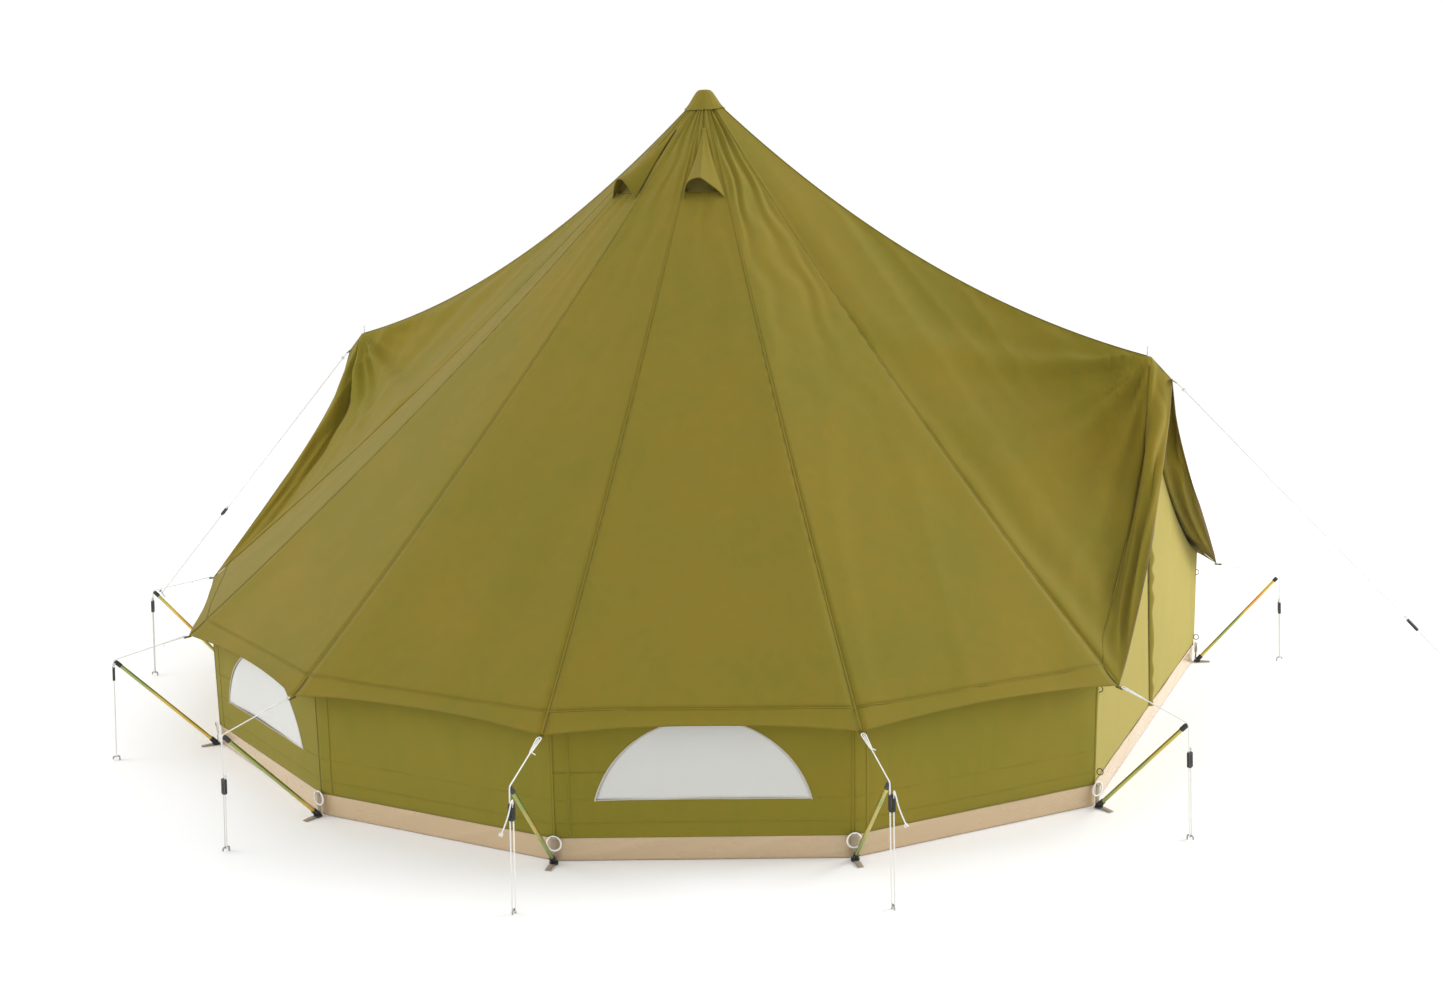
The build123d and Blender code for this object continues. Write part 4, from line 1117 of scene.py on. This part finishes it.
def makeDoors():
    gussets, loops = [], []
    for name, turned in (("front", 1), ("rear", -1)):
        bodies = {1: f"{name}_door_right", -1: f"{name}_door_left"}
        for side in (1, -1):
            which = "right" if side > 0 else "left"
            seed = 410 + 20 * side + 50 * turned
            z = np.linspace(door["low"], tent["doorTop"], door["rows"])[:, None]
            q = np.linspace(0, 1, door["columns"] + 1)[None]
            upright = doorHalf - 0.002
            outer = np.where(z < tent["wallTop"] - 0.012, upright, np.minimum(gableX(z) - 0.002, upright))
            x = 0.003 + (outer - 0.003) * q
            p = onDoor(x, z, doorWave(x, z, seed), 1.0) * np.array([side * turned, turned, 1])
            uv = np.stack(np.broadcast_arrays(x + 60 + 4 * side, z), -1)
            parts = [(p, uv, np.exp(-(x - 0.003) / 0.012))]
            half = sheetPiece(f"{name}DoorCloth_{which}", parts, door["thick"])
            # the door halves take the door canvas, whose extra paleness is painted light
            half.data.materials.append(finishes["door"])
            at = door["blendZ"]
            fold = np.array([side * foldX(at), -doorPlaneY(at), at])
            lean = tent["foldHalf"] / tent["peakZ"]
            cross = unit(np.array([side, 0.0, lean]))
            start, end = (fold + cross * door["blend"]), (fold - cross * door["blend"])
            spin = np.array([turned, turned, 1])
            tuple(start * spin)
            tuple(end * spin)
            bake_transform(half)
            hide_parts(f"{name}_door_leaf_{which}")
            # the zip's tape and teeth
            z = np.linspace(door["low"] + 0.004, tent["doorTop"] - 0.01, 120)
            path = onDoor(0.0085 + 0 * z, z, doorWave(0.0085 + 0 * z, z, seed) + 0.0006, 1.0)
            path = path * np.array([side * turned, turned, 1])
            out = np.array([0, -turned, 0.03])
            teeth = onDoor(0.0034 + 0 * z, z, -0.0050 + 0 * z, 1.0) * np.array([side * turned, turned, 1])
            beads = tube(teeth, 0.0016, 6, lambda s, t: 0.0004 * np.sin(s * 1400))
            strip = meshOf(f"{name}ZipTape_{which}", *joined([tape(path, out, 0.011, 0.001), beads]))
            finishPiece(strip, bodies[side], "zip", finishes["zipTape"])
        # ruffled strip that covers the zip, sewn to the left half
        z = np.linspace(door["low"] + 0.004, tent["doorTop"] - 0.055, 210)[:, None]
        q = np.linspace(0, 1, 12)[None]
        ruffle = np.sin(2 * np.pi * z / 0.16 + 2.6 * waves(z, z * 0, 77 + turned, 6, (1, 1), 0.5, 2.6))
        fade = smooth(0.6 + 0.9 * waves(z, z * 0, 87 + turned, 5, (1, 1), 0.5, 1.6))
        ruffle = ruffle * (0.25 + 0.75 * fade)
        x = -0.0585 + door["coverWidth"] * q + 0.009 * q * ruffle
        lift = 0.0005 + 0.012 * np.sin(np.pi * q) + door["coverWave"] * q * (1.15 + ruffle)
        p = onDoor(x, z, lift, 1.0) * np.array([turned, turned, 1])
        uv = np.stack(np.broadcast_arrays(q * door["coverWidth"], z), -1)
        parts = [(p, uv, np.maximum(np.exp(-q / 0.2), np.exp((q - 1) / 0.2)) + 0 * z)]
        cover = sheetPiece(f"{name}ZipCover", parts, 0.0014)
        finishPiece(cover, f"{name}_door_left", "door_canvas", finishes["cover"])
        # the point of canvas over both halves
        z = np.linspace(tent["doorTop"] + 0.002, 2.0, 30)[:, None]
        q = np.linspace(-1, 1, 31)[None]
        x = (gableX(z) - 0.002) * q
        p = onDoor(x, z, -0.0055 + 0 * x, 1.0) * np.array([turned, turned, 1])
        seam = np.exp(-(z - tent["doorTop"]) / 0.012) + 0 * x
        gussets.append((p, np.stack(np.broadcast_arrays(x + 80, z), -1), seam))
        for side in (1, -1):
            for high in door["tieHeights"]:
                t = np.linspace(0, 2 * np.pi, 40)
                centre = np.array([side * (doorHalf - 0.022), -doorPlaneY(high) - 0.017, high])
                ring = centre + np.stack([0.002 * np.sin(2 * t), 0.015 * np.cos(t), 0.016 * np.sin(t)], -1)
                loops.append(tube(ring * np.array([turned, turned, 1]), 0.0024, 8, caps=False))
    # the gussets take the same door canvas, paler as painted light
    piece = sheetPiece("doorGussets", gussets, door["thick"])
    finishPiece(piece, "tent", "door_canvas", finishes["door"], "door_walls")
    loops = meshOf("doorTies", *joined(loops))
    finishPiece(loops, "tent", "rope", finishes["tie"], "door_loops")


makeDoors()
print("doors made")

ground = {"rows": 16, "floorRows": 40, "columns": 34, "crease": 0.0032, "inset": 0.0022, "floorZ": 0.0025}


def makeGroundsheet():
    ring = []
    for a, b in zip(corners, corners[1:] + corners[:1]):
        v = np.linspace(0, 1, ground["columns"] * (2 if (b - a) % 14 == 2 else 1), endpoint=False)[:, None]
        ring.append(polar(1.0, a, 0.0) * (1 - v) + polar(1.0, b, 0.0) * v)
    ring = np.concatenate(ring)
    ring = np.concatenate([ring, ring[:1]])
    z = np.linspace(tent["sheetTop"], ground["floorZ"], ground["rows"])[:, None]
    length = arcLength(ring[None] * tent["sheetR"], 1)
    wide = np.minimum.reduce([np.linalg.norm(ring - polar(1.0, k, 0.0), axis=-1) for k in corners])[None]
    ridges = 1.2 * creases(length, z * 2.2, 91, 0.6, 2.4) + 0.5 * waves(length, z, 92, 8, (1, 2.2), 0.5, 2.0)
    crease = ground["crease"] * ridges * smooth(wide / 0.02)
    crease = crease * smooth((z - 0.002) / 0.02) * smooth((tent["sheetTop"] + 0.012 - z) / 0.03)
    radius, up = tent["sheetR"] - ground["inset"], np.array([0, 0, 1.0])
    side = ring[None] * (radius + crease)[..., None] + up * z[..., None]
    share = np.linspace(1, 0.0004, ground["floorRows"])[1:, None]
    floor = ring[None] * radius * share[..., None]
    swell = np.abs(waves(floor[..., 0], floor[..., 1], 93, 8, (1, 1), 0.2, 0.9))
    swell = 0.0018 * swell * smooth((1 - share) * 8)
    floor = floor + up * (ground["floorZ"] + swell)[..., None]
    p = np.concatenate([side, floor])
    s = arcLength(p, 0)
    uv = np.stack(np.broadcast_arrays(length, s), -1)
    piece = sheetPiece("groundsheetSkin", [(p, uv, 0.0)], 0.0018, (0, 0, 0.3))
    finishPiece(piece, "tent", "groundsheet", finishes["sheet"], "groundsheet")


makeGroundsheet()

strap = {
    "width": 0.029, "thick": 0.002, "tab": 0.022,
    "loop": ((3.0175, 0.012), (3.0175, 0.06), (3.0180, 0.104), (3.0195, 0.121), (3.0235, 0.126), (3.0265, 0.119),
             (3.0255, 0.108)),
}


def throughPlaces(places, count):
    # The straight line through a few places, as count points.
    places = np.array(places)
    at = np.linspace(0, len(places) - 1, count)
    return np.stack([np.interp(at, np.arange(len(places)), places[:, i]) for i in range(3)], -1)


def strapTape(path, sideways, width, thick):
    run = unit(np.gradient(path, axis=0))
    return tape(path, np.cross(run, sideways) * -1, width, thick)


def makeStraps():
    straps, tabs, up = [], [], np.array([0, 0, 1.0])
    for k in corners:
        out, sideways = polar(1.0, k, 0.0), polar(0.0, k, 0.0, 1.0)
        # down the corner, through the ring and back, then flat on the ground
        slack = np.random.default_rng(60 + k).uniform(-0.004, 0.004, 4)
        path = throughPlaces([out * r + up * z for r, z in strap["loop"]], 40)
        for _ in range(3):
            path[1:-1] = path[:-2] * 0.25 + path[1:-1] * 0.5 + path[2:] * 0.25
        straps.append(strapTape(path, sideways, strap["width"], strap["thick"]))
        q = np.linspace(0, 1, 18)[:, None]
        rise = 0.0022 + 0.003 * np.sin(np.pi * q) ** 2
        flat = out * (3.008 + 0.10 * q) + up * rise + sideways * slack[0] * q
        straps.append(tape(flat, up, strap["width"], strap["thick"]))
        a = out * (tent["eaveR"] - 0.012) + up * (tent["eaveZ"] - 0.004)
        b = out * (tent["eaveR"] + 0.024) + up * (tent["eaveZ"] - 0.007)
        middle = a * 0.5 + b * 0.5
        eye = [a, middle, b, b + out * 0.006 - up * 0.003, b + out * 0.002 - up * 0.007]
        eye = eye + [middle - up * 0.006, a - up * 0.006]
        tabs.append(strapTape(throughPlaces(eye, 28), sideways, strap["tab"], 0.0016))
    for turned in (1, -1):
        t = np.linspace(0, 1, 12)[:, None]
        a = np.array([0, -tent["tipY"] + 0.01, tent["tipZ"] + 0.002])
        b = np.array([0, -tent["tipY"] - 0.022, tent["tipZ"] - 0.018])
        path = (a * (1 - t) + b * t) * np.array([1, turned, 1])
        tabs.append(tape(path, np.array([0, -0.6 * turned, 0.8]), 0.020, 0.0026))
    straps = meshOf("baseStraps", *joined(straps))
    finishPiece(straps, "tent", "webbing", finishes["strap"], "ring_straps")
    tabs = meshOf("eaveTabs", *joined(tabs))
    finishPiece(tabs, "tent", "webbing", finishes["webbing"], "eave_tabs")


makeStraps()
print("straps made")

hardFinishes = {
    "pole_lower": "tubeSteel", "pole_upper": "tubeSteel", "pole_foot": "rubber", "pole_crown": "plastic",
    "a_frame_legs": "tubeSteel", "a_frame_crowns": "tubeSteel", "a_frame_feet": "rubber",
    "eave_struts": "zinc", "strut_caps": "plastic", "strut_feet": "plastic", "peg_rings": "ring",
    "line_pegs": "pegSteel", "front_zip_slider": "zip", "rear_zip_slider": "zip",
}


def dressFrame():
    for name, thing in nodes.items():
        key = "plastic" if name.startswith("runner_") else hardFinishes.get(name)
        if key:
            for slot in thing.material_slots:
                slot.material = finishes[key]


dressFrame()
print("frame parts finished")


def makeFloor():
    # Pale near the tent and as white as the surround far away, so that no horizon shows.
    far, level = 60.0, -0.0008
    square = [(-far, -far, level), (far, -far, level), (far, far, level), (-far, far, level)]
    floor = meshOf("studioFloor", square, [[0, 1, 2, 3]])
    made = Finish("paleFloor", Roughness=0.9)
    cloud = made.noise(made.place(), 0.4, 2.0)
    made.feed(Base_Color=made.mix(cloud, (0.90, 0.90, 0.905), (0.93, 0.93, 0.93)))
    reach = made.node("ShaderNodeVectorMath", {"operation": "LENGTH"}, {0: made.place()}, "Value")
    glow = made.node("ShaderNodeEmission", {}, {"Color": (1.0, 1.0, 1.0, 1.0), "Strength": 1.0})
    near = Wire(made.tree, made.shader.outputs[0])
    both = made.node("ShaderNodeMixShader", {}, {0: reach.between(7.0, 16.0), 1: near, 2: glow})
    made.tree.links.new(both.socket, made.tree.nodes["Material Output"].inputs["Surface"])
    floor.data.materials.append(made.material)


makeFloor()


studio = {"surround": 1.0, "key": 40.0, "left": 650.0, "right": 1500.0, "back": 60.0}
softBoxes = (
    ("key", (-2.0, 1.0, 12.0), 9.0), ("left", (-8.0, 11.0, 6.0), 7.0),
    ("right", (6.0, -12.0, 6.0), 7.0), ("back", (12.0, 4.0, 6.0), 8.0),
)


def lights():
    # Even studio light: a white surround and broad soft boxes, weakest from the camera's own side.
    world = bpy.data.worlds.new("studio")
    bpy.context.scene.world = world
    world.use_nodes = True
    back = world.node_tree.nodes["Background"]
    back.inputs["Color"].default_value = (1.0, 1.0, 1.0, 1.0)
    back.inputs["Strength"].default_value = studio["surround"]
    for name, place, size in softBoxes:
        data = bpy.data.lights.new(name, "AREA")
        data.size, data.energy = size, studio[name]
        thing = bpy.data.objects.new(name, data)
        thing.location = place
        thing.rotation_euler = (Vector((0, 0, 1.2)) - Vector(place)).to_track_quat("-Z", "Y").to_euler()
        bpy.context.scene.collection.objects.link(thing)


lights()
bpy.context.scene.view_settings.view_transform = "Standard"
